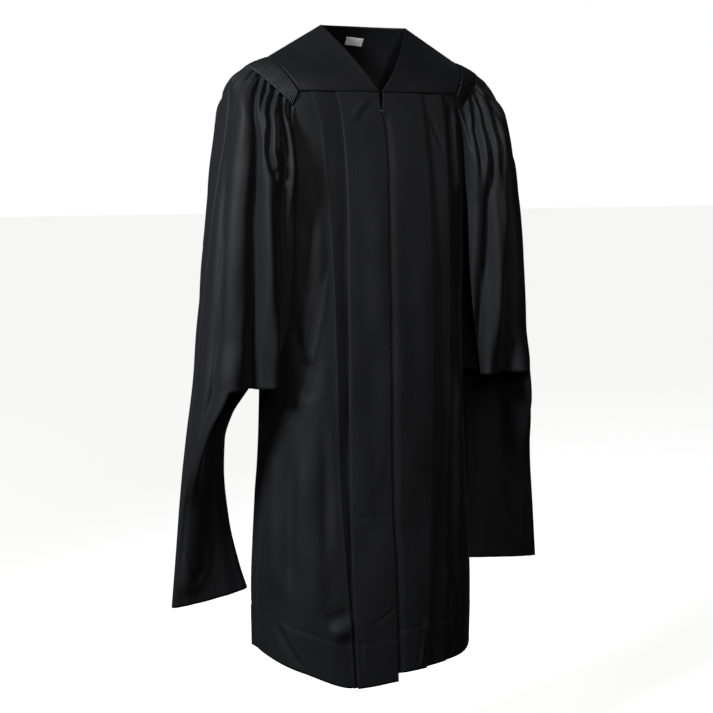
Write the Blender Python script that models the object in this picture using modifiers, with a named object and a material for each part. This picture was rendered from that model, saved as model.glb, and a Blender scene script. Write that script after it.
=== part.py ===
"""Graduation gown, master's style, worn open-bottomed hollow form. Metres, +Z up, front faces -Y.

The origin lies between the two neck points of the shoulders. +X is the wearer's left.
"""
import math

import bmesh
import bpy
from mathutils import Matrix, Vector

# ---------------------------------------------------------------- driving sizes
CLOTH = 0.0016                  # wall of the gown cloth
YOKE_WALL = 0.0020              # interfaced yoke
SEAM_GAP = 0.0003               # space left between two sewn pieces

NECK_HALF = 0.0845              # neck point to the middle
YOKE_TOP = Vector((0.190, 0.0, -0.060))       # outer end of the shoulder seam
YOKE_CORNER_X = 0.158           # lower outer corner of the front yokes
BACK_CORNER_X = 0.156           # lower outer corners of the back yoke
YOKE_OUT = 0.0030               # the yokes' lower edges stand out to cover the pleats
YOKE_DROP = 0.0009              # space between a yoke's lower edge and the cloth below
YOKE_COLUMNS = 10
YOKE_ROWS = 8
BACK_YOKE_COLUMNS = 24
BACK_YOKE_ROWS = 7
RIDGE_GAP = 0.0008              # half the space left along the shoulder seam
NECK_SHARE = 0.30               # share of the back yoke's upper edge that is one shoulder
FRONT_YOKE_Z = -0.123           # lower edge of the front yokes
BACK_YOKE_Z = -0.150            # lower edge of the back yoke
NECK_BACK = (0.046, 0.004)      # y and z of the back neck rim
HEAD_TOP = Vector((0.233, 0.0, -0.078))       # sleeve head on the shoulder
HEAD_END_FRONT_Z = -0.150       # lower end of the fluted band, front
HEAD_END_BACK_Z = -0.172        # lower end of the fluted band, back
UNDERARM_Z = -0.350

# plan sections of the body: half width, depth in front, depth behind, squareness
BODY = (
    dict(z=-0.123, half=0.193, front=0.072, back=0.082, square=5.0),
    dict(z=-0.200, half=0.194, front=0.077, back=0.092, square=4.2),
    dict(z=-0.280, half=0.195, front=0.087, back=0.100, square=3.6),
    dict(z=-0.350, half=0.196, front=0.095, back=0.105, square=3.0),
    dict(z=-0.600, half=0.201, front=0.110, back=0.112, square=2.5),
    dict(z=-0.720, half=0.204, front=0.114, back=0.116, square=2.4),
    dict(z=-0.850, half=0.210, front=0.120, back=0.122, square=2.3),
    dict(z=-0.960, half=0.218, front=0.127, back=0.128, square=2.2),
    dict(z=-1.060, half=0.223, front=0.134, back=0.134, square=2.2),
    dict(z=-1.240, half=0.221, front=0.146, back=0.142, square=2.15),
)

# how far out the fronts and back reach above the underarm
ARMHOLE = (
    dict(z=-0.123, front=0.158, back=0.150),
    dict(z=-0.150, front=0.166, back=0.158),
    dict(z=-0.200, front=0.179, back=0.174),
    dict(z=-0.280, front=0.191, back=0.189),
    dict(z=-0.350, front=0.196, back=0.196),
)

# pleat lines of each front: first (sharp) and second fold, from the middle, and the lap edge
PLEATS = {
    -1: (
        dict(z=-0.123, edge=0.0035, first=0.086, second=0.140),
        dict(z=-0.195, edge=-0.0005, first=0.087, second=0.124),
        dict(z=-0.300, edge=-0.0120, first=0.088, second=0.119),
        dict(z=-0.430, edge=-0.0130, first=0.088, second=0.115),
        dict(z=-0.620, edge=-0.0130, first=0.088, second=0.111),
        dict(z=-0.780, edge=-0.0130, first=0.089, second=0.110),
        dict(z=-1.000, edge=-0.0130, first=0.088, second=0.106),
        dict(z=-1.240, edge=-0.0090, first=0.084, second=0.104),
    ),
    1: (
        dict(z=-0.123, edge=0.0045, first=0.082, second=0.126),
        dict(z=-0.195, edge=0.0005, first=0.090, second=0.132),
        dict(z=-0.300, edge=-0.0120, first=0.094, second=0.140),
        dict(z=-0.430, edge=-0.0140, first=0.099, second=0.148),
        dict(z=-0.620, edge=-0.0140, first=0.103, second=0.150),
        dict(z=-0.780, edge=-0.0140, first=0.098, second=0.146),
        dict(z=-1.000, edge=-0.0140, first=0.084, second=0.134),
        dict(z=-1.240, edge=-0.0140, first=0.068, second=0.124),
    ),
}

# depth of the pleats down the front: spacing of the layers and how far each fold tucks under
PLEAT_DEPTH = (
    dict(z=-0.123, layer=0.0022, tuck=0.018, layer_two=0.0022, tuck_two=0.014, rise=0.000),
    dict(z=-0.250, layer=0.0030, tuck=0.018, layer_two=0.0030, tuck_two=0.010, rise=0.002),
    dict(z=-0.430, layer=0.0044, tuck=0.016, layer_two=0.0040, tuck_two=0.006, rise=0.006),
    dict(z=-0.700, layer=0.0054, tuck=0.014, layer_two=0.0044, tuck_two=0.003, rise=0.008),
    dict(z=-1.000, layer=0.0050, tuck=0.014, layer_two=0.0040, tuck_two=0.003, rise=0.006),
    dict(z=-1.240, layer=0.0036, tuck=0.014, layer_two=0.0030, tuck_two=0.003, rise=0.004),
)

FRONT_SIDE_STEPS = 8            # columns from the second pleat to the side seam
FRONT_ROWS = 12
SIDE_WAVE = 0.005               # wave between the second pleat and the side seam
SIDE_SEAM = SEAM_GAP / 2 + CLOTH * 0.3
BACK_FOLDS = 9                  # gathers on each side of the middle under the back yoke
BACK_COLUMNS = 4 * BACK_FOLDS
BACK_ROWS = 9
BACK_GATHER = 0.0030
BACK_WAVE = 0.0080

HEM_LEVEL = -1.20               # height at which the hem's direction is read
# hem height by the direction round the body: 0 front, 90 side, 180 back
HEM = (
    dict(turn=0, right=-1.220, left=-1.205),
    dict(turn=30, right=-1.224, left=-1.204),
    dict(turn=60, right=-1.194, left=-1.200),
    dict(turn=90, right=-1.168, left=-1.190),
    dict(turn=180, right=-1.190, left=-1.190),
)

# the two edges of each sleeve in plan: inner edge on the body's side, outer edge, and how far the
# front and the back layer stand off the line between them
SLEEVE = (
    dict(z=-0.078, x_in=0.199, y_in=0.000, x_out=0.253, y_out=0.000, front=0.060, back=0.060, lean=0.000),
    dict(z=-0.095, x_in=0.199, y_in=0.000, x_out=0.264, y_out=0.000, front=0.070, back=0.070, lean=0.000),
    dict(z=-0.120, x_in=0.199, y_in=0.000, x_out=0.265, y_out=0.003, front=0.080, back=0.078, lean=0.000),
    dict(z=-0.150, x_in=0.199, y_in=0.000, x_out=0.268, y_out=-0.002, front=0.092, back=0.084, lean=0.010),
    dict(z=-0.200, x_in=0.199, y_in=0.000, x_out=0.276, y_out=-0.007, front=0.106, back=0.086, lean=0.030),
    dict(z=-0.280, x_in=0.200, y_in=0.000, x_out=0.292, y_out=-0.010, front=0.116, back=0.084, lean=0.038),
    dict(z=-0.360, x_in=0.204, y_in=0.000, x_out=0.306, y_out=-0.012, front=0.114, back=0.078, lean=0.040),
    dict(z=-0.500, x_in=0.208, y_in=0.010, x_out=0.323, y_out=-0.009, front=0.114, back=0.066, lean=0.042),
    dict(z=-0.655, x_in=0.215, y_in=0.024, x_out=0.341, y_out=-0.004, front=0.112, back=0.044, lean=0.042),
    dict(z=-0.830, x_in=0.217, y_in=0.028, x_out=0.368, y_out=-0.006, front=0.016, back=0.022, lean=0.000),
    dict(z=-1.066, x_in=0.217, y_in=0.028, x_out=0.391, y_out=-0.002, front=0.012, back=0.013, lean=0.000),
)
MOUTH_Z = -0.655                # hem of the open sleeve mouth, cut across the front layer
MOUTH_LIP = 0.004               # the lower lip of the mouth starts this much higher
MOUTH_STEP = 0.020              # spacing of the rows past the end of the mouth
MOUTH_END = 21                  # column of the front layer at which the mouth ends
SLEEVE_TIP_Z = {-1: -1.056, 1: -1.050}        # corner of the hanging end beside the body
SLEEVE_HEEL_Z = {-1: -1.066, 1: -1.056}       # outer corner of the hanging end
LEAN_FROM = 0.062               # the front layer leans in over the body further forward than this
LEAN_OVER = 0.030
POUCH = 0.016                   # how far the front layer bellies just under the mouth
OUTER_FLAT = 0.30               # the front layer's fullness falls by this share to its outer edge
ARC_REACH = {-1: 1.15, 1: 0.82}         # depth of the arc on each side
FOLD_TOP = -0.120               # the large folds start to drift inward below this
FRONT_COLUMNS = 30
BACK_LAYER_COLUMNS = 20
LOW_SHARE = 0.30                # share of the columns that start below the fluted band
HEAD_ROWS = 6
TUBE_ROWS = 4
HANG_ROWS = 6
JOIN_Z = -0.400                 # below this every column hangs free of the armhole
GATHER_STEP = 3                 # columns to a gather
GATHER_RIDGE = 0.0075
GATHER_VALLEY = -0.0038
PUFF = 0.012                    # fullness of the sleeve head over the shoulder
SEAM_OUT = CLOTH + 3 * SEAM_GAP         # from the armhole to the sleeve sewn on it
LAYER_GAP = CLOTH / 2 + SEAM_GAP        # from the middle of an edge seam to each layer

# the arc cut into the hanging end on the body's side
ARC = (
    dict(z=-0.655, x=0.215, y=0.024),
    dict(z=-0.680, x=0.228, y=0.036),
    dict(z=-0.720, x=0.249, y=0.045),
    dict(z=-0.768, x=0.260, y=0.052),
    dict(z=-0.825, x=0.261, y=0.055),
    dict(z=-0.924, x=0.254, y=0.052),
    dict(z=-1.007, x=0.240, y=0.044),
    dict(z=-1.060, x=0.228, y=0.034),
)

# large folds down the sleeve layers: place across at the head and low down, from the inner to the
# outer edge, width and height
FRONT_FOLDS = (
    dict(place=0.360, low=0.220, width=0.045, height=0.003),
    dict(place=0.520, low=0.310, width=0.045, height=-0.006),
    dict(place=0.680, low=0.400, width=0.055, height=0.006),
    dict(place=0.725, low=0.572, width=0.050, height=-0.013),
    dict(place=0.890, low=0.700, width=0.070, height=0.004),
    dict(place=0.980, low=0.812, width=0.042, height=-0.010),
)
BACK_FOLDS_SLEEVE = (
    dict(place=0.300, low=0.300, width=0.060, height=-0.010),
    dict(place=0.450, low=0.450, width=0.070, height=0.008),
    dict(place=0.600, low=0.600, width=0.050, height=-0.010),
    dict(place=0.750, low=0.750, width=0.070, height=0.006),
)

RIBS = 26                       # fluted ribs in each band
RIB_HEIGHT = 0.0012
BAND_ACROSS = 3                 # rows across a band
BAND_STEP = 0.0034              # space between a yoke and the band beside it
BAND_DROP = 0.0012

BLACK = (0.012, 0.012, 0.013)
WHITE = (0.80, 0.80, 0.78)
ZIP_METAL = (0.30, 0.30, 0.31)
ZIP_BLACK = (0.02, 0.02, 0.02)

ZIP_LENGTH = 0.500
ZIP_X = 0.0005
ZIP_TOP_Z = -0.1275
TAPE_WIDTH = 0.0120
TAPE_WALL = 0.0010
CHAIN_WIDTH = 0.0040
CHAIN_WALL = 0.0016
ZIP_BEHIND = 0.0046             # from the fronts' outer level back to the zip
SLIDER_Z = -0.1335
SLIDER_SIZE = (0.0070, 0.0040, 0.0090)
SLIDER_PLATE = 0.0009
SLIDER_PLAY = 0.0004            # between the chain and each plate
SLIDER_NECK = 0.0026
HINGE_UP = 0.0022               # hinge axis above the slider's middle
RING_INNER = 0.00070
RING_OUTER = 0.00135
RING_WIDTH = 0.0014
BAR_RADIUS = 0.00062
TAB_LENGTH = 0.0170
TAB_WIDTH = 0.0036
TAB_WINDOW = 0.0020
TAB_OPEN = 0.0030               # height of the window under the bar
TAB_WALL = 0.0009
ZIP_ROWS = 14

LABEL_SIZE = (0.037, 0.0125)
LABEL_X = 0.010
LABEL_Z = -0.0225
LABEL_WALL = 0.0008
LABEL_CLEAR = 0.0012


# ---------------------------------------------------------------- small helpers
def smooth(value):
    value = min(1.0, max(0.0, value))
    return value * value * (3.0 - 2.0 * value)


def read(table, key, place, column="z"):
    """Value of a named column at a place, eased between the rows of a table."""
    rows = sorted(table, key=lambda row: row[column])
    if place <= rows[0][column]:
        return rows[0][key]
    for low, high in zip(rows, rows[1:]):
        if place <= high[column]:
            share = (place - low[column]) / (high[column] - low[column])
            return low[key] + (high[key] - low[key]) * share
    return rows[-1][key]


def power(base, exponent):
    return math.copysign(abs(base) ** exponent, base)


def body_numbers(z, behind):
    side = "back" if behind else "front"
    return read(BODY, "half", z), read(BODY, side, z), read(BODY, "square", z)


def body_point(x, z, behind=False, out=0.0):
    """Point of the body's plan section at a place across, moved out along its normal."""
    half, depth, square = body_numbers(z, behind)
    sign = 1.0 if behind else -1.0
    share = min(0.99999, abs(x / half))
    y = sign * depth * (1.0 - share ** square) ** (1.0 / square)
    normal = Vector((power(x / half, square - 1) / half, power(y / depth, square - 1) / depth, 0.0))
    normal.normalize()
    return Vector((x, y, z)) + normal * out


def body_turn(x, z):
    """Angle that stands for a place across, from 0 in the middle to 90 degrees at the side."""
    half = read(BODY, "half", z)
    square = read(BODY, "square", z)
    return math.asin(min(1.0, (abs(x) / half) ** (square / 2.0)))


def body_across(turn, z):
    half = read(BODY, "half", z)
    square = read(BODY, "square", z)
    return half * math.sin(turn) ** (2.0 / square)


def new_material(name, colour, roughness, metallic=0.0):
    material = bpy.data.materials.new(name)
    material.use_nodes = True
    shader = material.node_tree.nodes["Principled BSDF"]
    shader.inputs["Base Color"].default_value = (*colour, 1.0)
    shader.inputs["Roughness"].default_value = roughness
    shader.inputs["Metallic"].default_value = metallic
    material.diffuse_color = (*colour, 1.0)
    return material


def sheet(name, columns, rows, place, wall, material):
    """A grid whose points are set by place(column, row), given a wall by Solidify."""
    mesh = bpy.data.meshes.new(name)
    shape = bmesh.new()
    bmesh.ops.create_grid(shape, x_segments=columns, y_segments=rows, size=0.5)
    for vert in shape.verts:
        column = round((vert.co.x + 0.5) * columns)
        row = round((vert.co.y + 0.5) * rows)
        vert.co = place(column, row)
    shape.to_mesh(mesh)
    shape.free()
    thing = bpy.data.objects.new(name, mesh)
    mesh.materials.append(material)
    mesh.shade_smooth()
    wall_modifier = thing.modifiers.new("wall", "SOLIDIFY")
    wall_modifier.thickness = wall
    wall_modifier.offset = 0.0
    wall_modifier.use_even_offset = False
    gown.objects.link(thing)
    return thing


# ---------------------------------------------------------------- scene
for thing in list(bpy.data.objects):
    bpy.data.objects.remove(thing, do_unlink=True)
gown = bpy.data.collections.new("graduation_gown")
bpy.context.scene.collection.children.link(gown)


def cloth(name):
    return new_material(name, BLACK, 0.62)


# ---------------------------------------------------------------- fronts
def front_stations(side, z):
    """Places across one front and their distance out from the body: panels, folds and tucks."""
    edge = read(PLEATS[side], "edge", z)
    first = read(PLEATS[side], "first", z)
    second = read(PLEATS[side], "second", z)
    layer = read(PLEAT_DEPTH, "layer", z)
    tuck = read(PLEAT_DEPTH, "tuck", z)
    layer_two = read(PLEAT_DEPTH, "layer_two", z)
    tuck_two = read(PLEAT_DEPTH, "tuck_two", z)
    rise = read(PLEAT_DEPTH, "rise", z)
    top = 2.0 * layer
    lap = 0.0 if side < 0 else -(CLOTH + 0.0010) * smooth((-0.150 - z) / 0.030)
    stations = [
        (edge, top + lap),
        (max(edge + 0.006, 0.020), top + lap),
        (first * 0.45, top),
        (first * 0.80, top),
    ]

    def fold(at, level, gap, depth):
        half = gap / 2.0
        for angle in (90, 45, 0, -45, -90):
            turn = math.radians(angle)
            stations.append((at + half * math.cos(turn), level - half + half * math.sin(turn)))
        for angle in (90, 45, 0, -45, -90):
            turn = math.radians(angle)
            stations.append((at - depth - half * math.cos(turn), level - gap - half + half * math.sin(turn)))

    fold(first, top, layer, tuck)
    stations.append((first + 0.004, 0.0))
    stations.append(((first + second) / 2.0 + 0.002, rise * 0.5 + layer_two))
    level = rise + 2.0 * layer_two
    fold(second, level, layer_two, tuck_two)
    return stations, second, rise


def armhole_x(z, behind):
    if z <= UNDERARM_Z:
        return read(BODY, "half", z)
    return read(ARMHOLE, "back" if behind else "front", z)


def front_hem(side, column, columns):
    """Hem height below a column, by its direction round the body."""
    stations, second, rise = front_stations(side, HEM_LEVEL)
    if column < len(stations):
        point = body_point(stations[column][0], HEM_LEVEL)
    else:
        step = (column - len(stations) + 1) / FRONT_SIDE_STEPS
        start = body_turn(second, HEM_LEVEL)
        turn = start + (math.pi / 2 - start) * step
        point = body_point(body_across(turn, HEM_LEVEL) * 0.9999, HEM_LEVEL)
    direction = math.degrees(math.atan2(abs(point.x), -point.y))
    return read(HEM, "left" if side > 0 else "right", direction, "turn")


def front_place(side, column, row, columns, rows):
    share = row / rows
    top_z = FRONT_YOKE_Z - YOKE_DROP
    z = top_z + (front_hem(side, column, columns) - top_z) * share
    stations, second, rise = front_stations(side, z)
    if column < len(stations):
        across, out = stations[column]
        point = body_point(across, z, False, out)
    else:
        step = (column - len(stations) + 1) / FRONT_SIDE_STEPS
        start = body_turn(second + 0.004, z)
        end_x = armhole_x(z, False)
        end = body_turn(end_x, z)
        turn = start + (end - start) * step
        wave = SIDE_WAVE * math.sin(math.pi * step * 2.0) * smooth((-0.30 - z) / 0.30)
        out = (rise + wave) * (1.0 - step)
        across = body_across(turn, z)
        point = body_point(min(across, end_x), z, False, out)
        if z <= UNDERARM_Z and step > 0.999:
            point = Vector((read(BODY, "half", z), -SIDE_SEAM, z))
    point.x *= side
    return point


def build_front(name, side):
    columns = len(front_stations(side, -0.5)[0]) + FRONT_SIDE_STEPS - 1
    rows = FRONT_ROWS
    return sheet(name, columns, rows, lambda c, r: front_place(side, c, r, columns, rows), CLOTH, cloth(name))


build_front("front_right", -1)
build_front("front_left", 1)


# ---------------------------------------------------------------- back


def back_place(column, row, columns, rows):
    share = row / rows
    across_share = column / columns * 2.0 - 1.0          # -1 at the wearer's right seam, 1 at the left
    top_z = BACK_YOKE_Z - YOKE_DROP
    hem_key = "left" if across_share > 0 else "right"
    hem_z = read(HEM, hem_key, 180.0 - 90.0 * abs(across_share), "turn")
    z = top_z + (hem_z - top_z) * share
    end_x = armhole_x(z, True)
    end = body_turn(end_x, z)
    across = body_across(abs(across_share) * end, z)
    edge = smooth((1.0 - abs(across_share)) / 0.18)
    gather = BACK_GATHER * math.cos(across_share * math.pi * BACK_FOLDS) * (1.0 - smooth(share / 0.5) * 0.5)
    hang = BACK_WAVE * math.cos(across_share * math.pi * 4.0) * smooth(share / 0.8)
    out = (gather + hang + 0.003) * edge
    point = body_point(min(across, end_x), z, True, out)
    if z <= UNDERARM_Z and abs(across_share) > 0.999:
        point = Vector((read(BODY, "half", z), SIDE_SEAM, z))
    point.x *= math.copysign(1.0, across_share)
    return point


sheet(
    "back", BACK_COLUMNS, BACK_ROWS,
    lambda c, r: back_place(c, r, BACK_COLUMNS, BACK_ROWS), CLOTH, cloth("back"),
)


# ---------------------------------------------------------------- yokes


def neck_edge(share):
    """Front neck edge, from the neck point (0) to the foot of the V (1)."""
    x = NECK_HALF * (1.0 - share) ** 0.94 + 0.0016
    y = -(read(BODY, "front", FRONT_YOKE_Z) + YOKE_OUT) * math.sin(share * math.pi / 2.0) ** 0.95
    return Vector((x, y, FRONT_YOKE_Z * share))


def yoke_outer_edge(share, behind=False):
    """Outer edge of a yoke, from the shoulder (0) to its lower corner (1)."""
    low_z = BACK_YOKE_Z if behind else FRONT_YOKE_Z
    corner_x = BACK_CORNER_X if behind else YOKE_CORNER_X
    corner = body_point(corner_x, low_z, behind, YOKE_OUT)
    x = YOKE_TOP.x + (corner.x - YOKE_TOP.x) * share ** 1.5
    y = corner.y * math.sin(share * math.pi / 2.0)
    z = YOKE_TOP.z + (low_z - YOKE_TOP.z) * share ** 1.3
    return Vector((x, y, z))


def coons(top, bottom, left, right, u, v):
    """Surface between four edges that meet at their ends."""
    along = top(u) * (1 - v) + bottom(u) * v
    across = left(v) * (1 - u) + right(v) * u
    corners = (
        (top(0) * (1 - u) + top(1) * u) * (1 - v)
        + (bottom(0) * (1 - u) + bottom(1) * u) * v
    )
    return along + across - corners


def front_yoke_point(u, v):
    neck_point = neck_edge(0.0)

    def top(share):
        return neck_point.lerp(YOKE_TOP, share)

    def bottom(share):
        start = neck_edge(1.0).x
        return body_point(start + (YOKE_CORNER_X - start) * share, FRONT_YOKE_Z, False, YOKE_OUT)

    point = coons(top, bottom, neck_edge, yoke_outer_edge, u, v)
    point.y -= RIDGE_GAP * (1.0 - v)
    return point


def front_yoke_place(side, column, row, columns, rows):
    point = front_yoke_point(column / columns, row / rows)
    point.x *= side
    return point


for yoke_name, yoke_side in (("yoke_front_right", -1), ("yoke_front_left", 1)):
    sheet(
        yoke_name, YOKE_COLUMNS, YOKE_ROWS,
        lambda c, r, s=yoke_side: front_yoke_place(s, c, r, YOKE_COLUMNS, YOKE_ROWS),
        YOKE_WALL, cloth(yoke_name),
    )


def back_yoke_point(u, v):
    """Back yoke, u from the wearer's right (0) to left (1), v from the upper to the lower edge."""
    neck_point = neck_edge(0.0)

    def top(share):
        mirrored = abs(share * 2.0 - 1.0)
        side = math.copysign(1.0, share - 0.5)
        inner = 1.0 - 2.0 * NECK_SHARE
        if mirrored > inner:
            point = neck_point.lerp(YOKE_TOP, (mirrored - inner) / (1.0 - inner))
        else:
            part = mirrored / inner
            rim_y = NECK_BACK[0] * (1.0 - part ** 2.4)
            rim_z = NECK_BACK[1] * (1.0 - part ** 2.0)
            point = Vector((neck_point.x * part, rim_y, rim_z))
        point.x *= side
        return point

    def bottom(share):
        return body_point((share * 2.0 - 1.0) * BACK_CORNER_X, BACK_YOKE_Z, True, YOKE_OUT)

    def left(share):
        point = yoke_outer_edge(share, True)
        point.x *= -1.0
        return point

    def right(share):
        return yoke_outer_edge(share, True)

    point = coons(top, bottom, left, right, u, v)
    point.y += RIDGE_GAP * (1.0 - v)
    return point


sheet(
    "yoke_back", BACK_YOKE_COLUMNS, BACK_YOKE_ROWS,
    lambda c, r: back_yoke_point(c / BACK_YOKE_COLUMNS, r / BACK_YOKE_ROWS), YOKE_WALL, cloth("yoke_back"),
)


def label_place(column, row):
    across = LABEL_X + (column / 4 - 0.5) * LABEL_SIZE[0]
    up = (row / 2 - 0.5) * LABEL_SIZE[1]
    middle = back_yoke_point(0.5, 0.0)
    span = back_yoke_point(0.5 + 0.05, 0.0).x / 0.05
    depth = back_yoke_point(0.5, 0.2)
    fall = (depth.z - middle.z) / 0.2
    point = back_yoke_point(0.5 + across / span, (LABEL_Z + up - middle.z) / fall)
    point.y -= YOKE_WALL / 2 + LABEL_WALL / 2 + LABEL_CLEAR
    return point


sheet("neck_label", 4, 2, label_place, LABEL_WALL, new_material("neck_label", WHITE, 0.7))


# ---------------------------------------------------------------- fluted bands
def head_edge(share):
    """Outer edge of the fluted band: front end (0), over the shoulder (0.5), back end (1)."""
    behind = share > 0.5
    part = abs(share * 2.0 - 1.0)
    end_z = HEAD_END_BACK_Z if behind else HEAD_END_FRONT_Z
    end = body_point(armhole_x(end_z, behind) + 0.004, end_z, behind)
    x = HEAD_TOP.x + (end.x - HEAD_TOP.x) * part ** 1.55
    y = end.y * math.sin(part * math.pi / 2.0)
    z = HEAD_TOP.z + (end_z - HEAD_TOP.z) * part ** 1.35
    return Vector((x, y, z))


def band_inner_edge(share):
    behind = share > 0.5
    part = abs(share * 2.0 - 1.0)
    edge = yoke_outer_edge(part, behind)
    middle = Vector((0.0, 0.0, edge.z - 0.10))
    outward = edge - middle
    outward.z = 0.0
    outward.normalize()
    return edge + outward * BAND_STEP * (0.35 + 0.65 * part) - Vector((0.0, 0.0, BAND_DROP))


# the bands are built by hand as two skins, so that the ribs rise only outside
def build_fluting(name, side):
    columns = RIBS * 2
    mesh = bpy.data.meshes.new(name)
    shape = bmesh.new()
    skins = []
    for skin in (0, 1):
        grid = {}
        for column in range(columns + 1):
            for row in range(BAND_ACROSS + 1):
                share = column / columns
                low = band_inner_edge(share)
                high = head_edge(share)
                point = low.lerp(high, row / BAND_ACROSS)
                ahead = band_inner_edge(min(1.0, share + 0.01)) - band_inner_edge(max(0.0, share - 0.01))
                normal = (high - low).cross(ahead)
                normal.normalize()
                if normal.z < 0 and abs(normal.z) > 0.2 or normal.dot(point - Vector((0.12, 0, -0.2))) < 0:
                    normal.negate()
                rib = RIB_HEIGHT if column % 2 else 0.0
                edge_fade = 1.0 if 0 < row < BAND_ACROSS else 0.35
                out = -CLOTH / 2 if skin == 0 else CLOTH / 2 + rib * edge_fade
                place = point + normal * out
                place.x *= side
                grid[column, row] = shape.verts.new(place)
        skins.append(grid)
    inner, outer = skins
    for column in range(columns):
        for row in range(BAND_ACROSS):
            for grid in (inner, outer):
                corners = ((column, row), (column + 1, row), (column + 1, row + 1), (column, row + 1))
                shape.faces.new([grid[corner] for corner in corners])
    rim = [(c, 0) for c in range(columns)] + [(columns, r) for r in range(BAND_ACROSS)]
    rim += [(c, BAND_ACROSS) for c in range(columns, 0, -1)] + [(0, r) for r in range(BAND_ACROSS, 0, -1)]
    for here, there in zip(rim, rim[1:] + rim[:1]):
        shape.faces.new((inner[here], inner[there], outer[there], outer[here]))
    bmesh.ops.recalc_face_normals(shape, faces=shape.faces)
    shape.to_mesh(mesh)
    shape.free()
    mesh.materials.append(cloth(name))
    thing = bpy.data.objects.new(name, mesh)
    gown.objects.link(thing)


build_fluting("fluting_right", -1)
build_fluting("fluting_left", 1)


# ---------------------------------------------------------------- sleeves


def armhole_low(part, behind):
    """Lower armhole, from the underarm (0) up to the end of the fluted band (1)."""
    end_z = HEAD_END_BACK_Z if behind else HEAD_END_FRONT_Z
    z = UNDERARM_Z + (end_z - UNDERARM_Z) * part
    return body_point(armhole_x(z, behind), z, behind, SEAM_OUT)


def armhole_point(share, behind):
    """Start of a sleeve column, from the underarm (0) to the top of the shoulder (1)."""
    if share <= LOW_SHARE:
        return armhole_low(share / LOW_SHARE, behind)
    part = (1.0 - share) / (1.0 - LOW_SHARE)
    start = head_edge(0.5 + 0.5 * part if behind else 0.5 - 0.5 * part)
    outward = Vector((start.x - 0.10, start.y * 0.9, 0.04)).normalized()
    start += outward * SEAM_OUT
    low = armhole_low(1.0, behind)
    return low.lerp(start, smooth((share - LOW_SHARE) / 0.05))


def layer_point(share, z, side, layer):
    """Point of a hanging layer: share runs from the inner to the outer edge, layer is -1 in front."""
    below = z < MOUTH_Z
    x_in = read(SLEEVE, "x_in", max(z, MOUTH_Z))
    if below:
        x_in += (read(ARC, "x", z) - x_in) * ARC_REACH[side]
    y_in = read(ARC, "y", z) if below else read(SLEEVE, "y_in", z)
    x_out = read(SLEEVE, "x_out", z)
    y_out = read(SLEEVE, "y_out", z)
    part = 0.5 - 0.5 * math.cos(math.pi * share)
    bulge = math.sin(math.pi * share)
    depth = read(SLEEVE, "front" if layer < 0 else "back", z)
    kept = 1.0
    if below and layer < 0:
        kept = smooth((share - 0.52) / 0.20) * (1.0 - smooth((MOUTH_Z - z) / 0.24))
        depth = POUCH + (read(SLEEVE, "front", MOUTH_Z) - POUCH) * kept
    if layer < 0:
        depth *= 1.0 - OUTER_FLAT * share ** 3
    y = y_in + (y_out - y_in) * part + layer * (depth * bulge ** 0.62 + LAYER_GAP)
    x = x_in + (x_out - x_in) * part
    if layer < 0:
        ahead = smooth((-y - LEAN_FROM) / LEAN_OVER)
        x -= read(SLEEVE, "lean", max(z, MOUTH_Z)) * ahead * smooth((1.0 - share) / 0.75) * kept
    return Vector((x, y, z))


def sleeve_place(side, layer, columns, column, row):
    share = column / columns
    behind = layer > 0
    outward = Vector((-0.6 * math.cos(math.pi * share), layer * math.sin(math.pi * share), 0.0))
    edge = min(1.0, 6.0 * share, 6.0 * (1.0 - share))
    if row <= HEAD_ROWS:
        down = (row / HEAD_ROWS) ** 1.5
        start = armhole_point(share, behind)
        start.y += layer * LAYER_GAP
        z = start.z + (JOIN_Z - start.z) * down
        target = layer_point(share, z, side, layer)
        fall = max(smooth((start.z - z) / (0.15 - 0.12 * share ** 2)) ** 0.55, down ** 2)
        point = start.lerp(target, fall)
        point.z = z
        head = smooth((share - LOW_SHARE + 0.10) / 0.10)
        ridge = GATHER_RIDGE if column % GATHER_STEP == 1 else GATHER_VALLEY
        gather = ridge * edge * head * smooth(down * 5.0) * (1.0 - 0.85 * down)
        puff = PUFF * math.sin(math.pi * min(1.0, down * 1.4)) * head * edge
        point += outward * (gather + puff * 0.5)
        point.z += puff * 0.8 * (1.0 - down)
        depth = smooth(down * 1.2)
    elif row <= HEAD_ROWS + TUBE_ROWS:
        down = (row - HEAD_ROWS) / TUBE_ROWS
        point = layer_point(share, JOIN_Z + (MOUTH_Z - JOIN_Z) * down, side, layer)
        depth = 1.0
    else:
        down = (row - HEAD_ROWS - TUBE_ROWS - 1) / HANG_ROWS
        part = 0.5 - 0.5 * math.cos(math.pi * share)
        bottom = SLEEVE_TIP_Z[side] + (SLEEVE_HEEL_Z[side] - SLEEVE_TIP_Z[side]) * part
        top = MOUTH_Z - 0.0001 - MOUTH_STEP * smooth((share - 0.60) / 0.12)
        z = top + (bottom - top) * down
        point = layer_point(share, z, side, layer)
        if down == 0.0 and share < 0.70:
            point.z += MOUTH_LIP * smooth(share / 0.20)
        hang = smooth((MOUTH_Z - z) / 0.12)
        depth = (1.0 - hang) * (smooth((share - 0.55) / 0.1) if not behind else 1.0)
        outward *= 1.0 - 0.6 * hang
    lower = min(1.0, max(0.0, (FOLD_TOP - point.z) / (FOLD_TOP - MOUTH_Z)))
    for fold in (BACK_FOLDS_SLEEVE if behind else FRONT_FOLDS):
        place = fold["place"] + (fold["low"] - fold["place"]) * lower
        drift = (share - place) / fold["width"]
        point += outward * fold["height"] * math.exp(-drift * drift) * depth * edge
    point.x *= side
    return point


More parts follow.
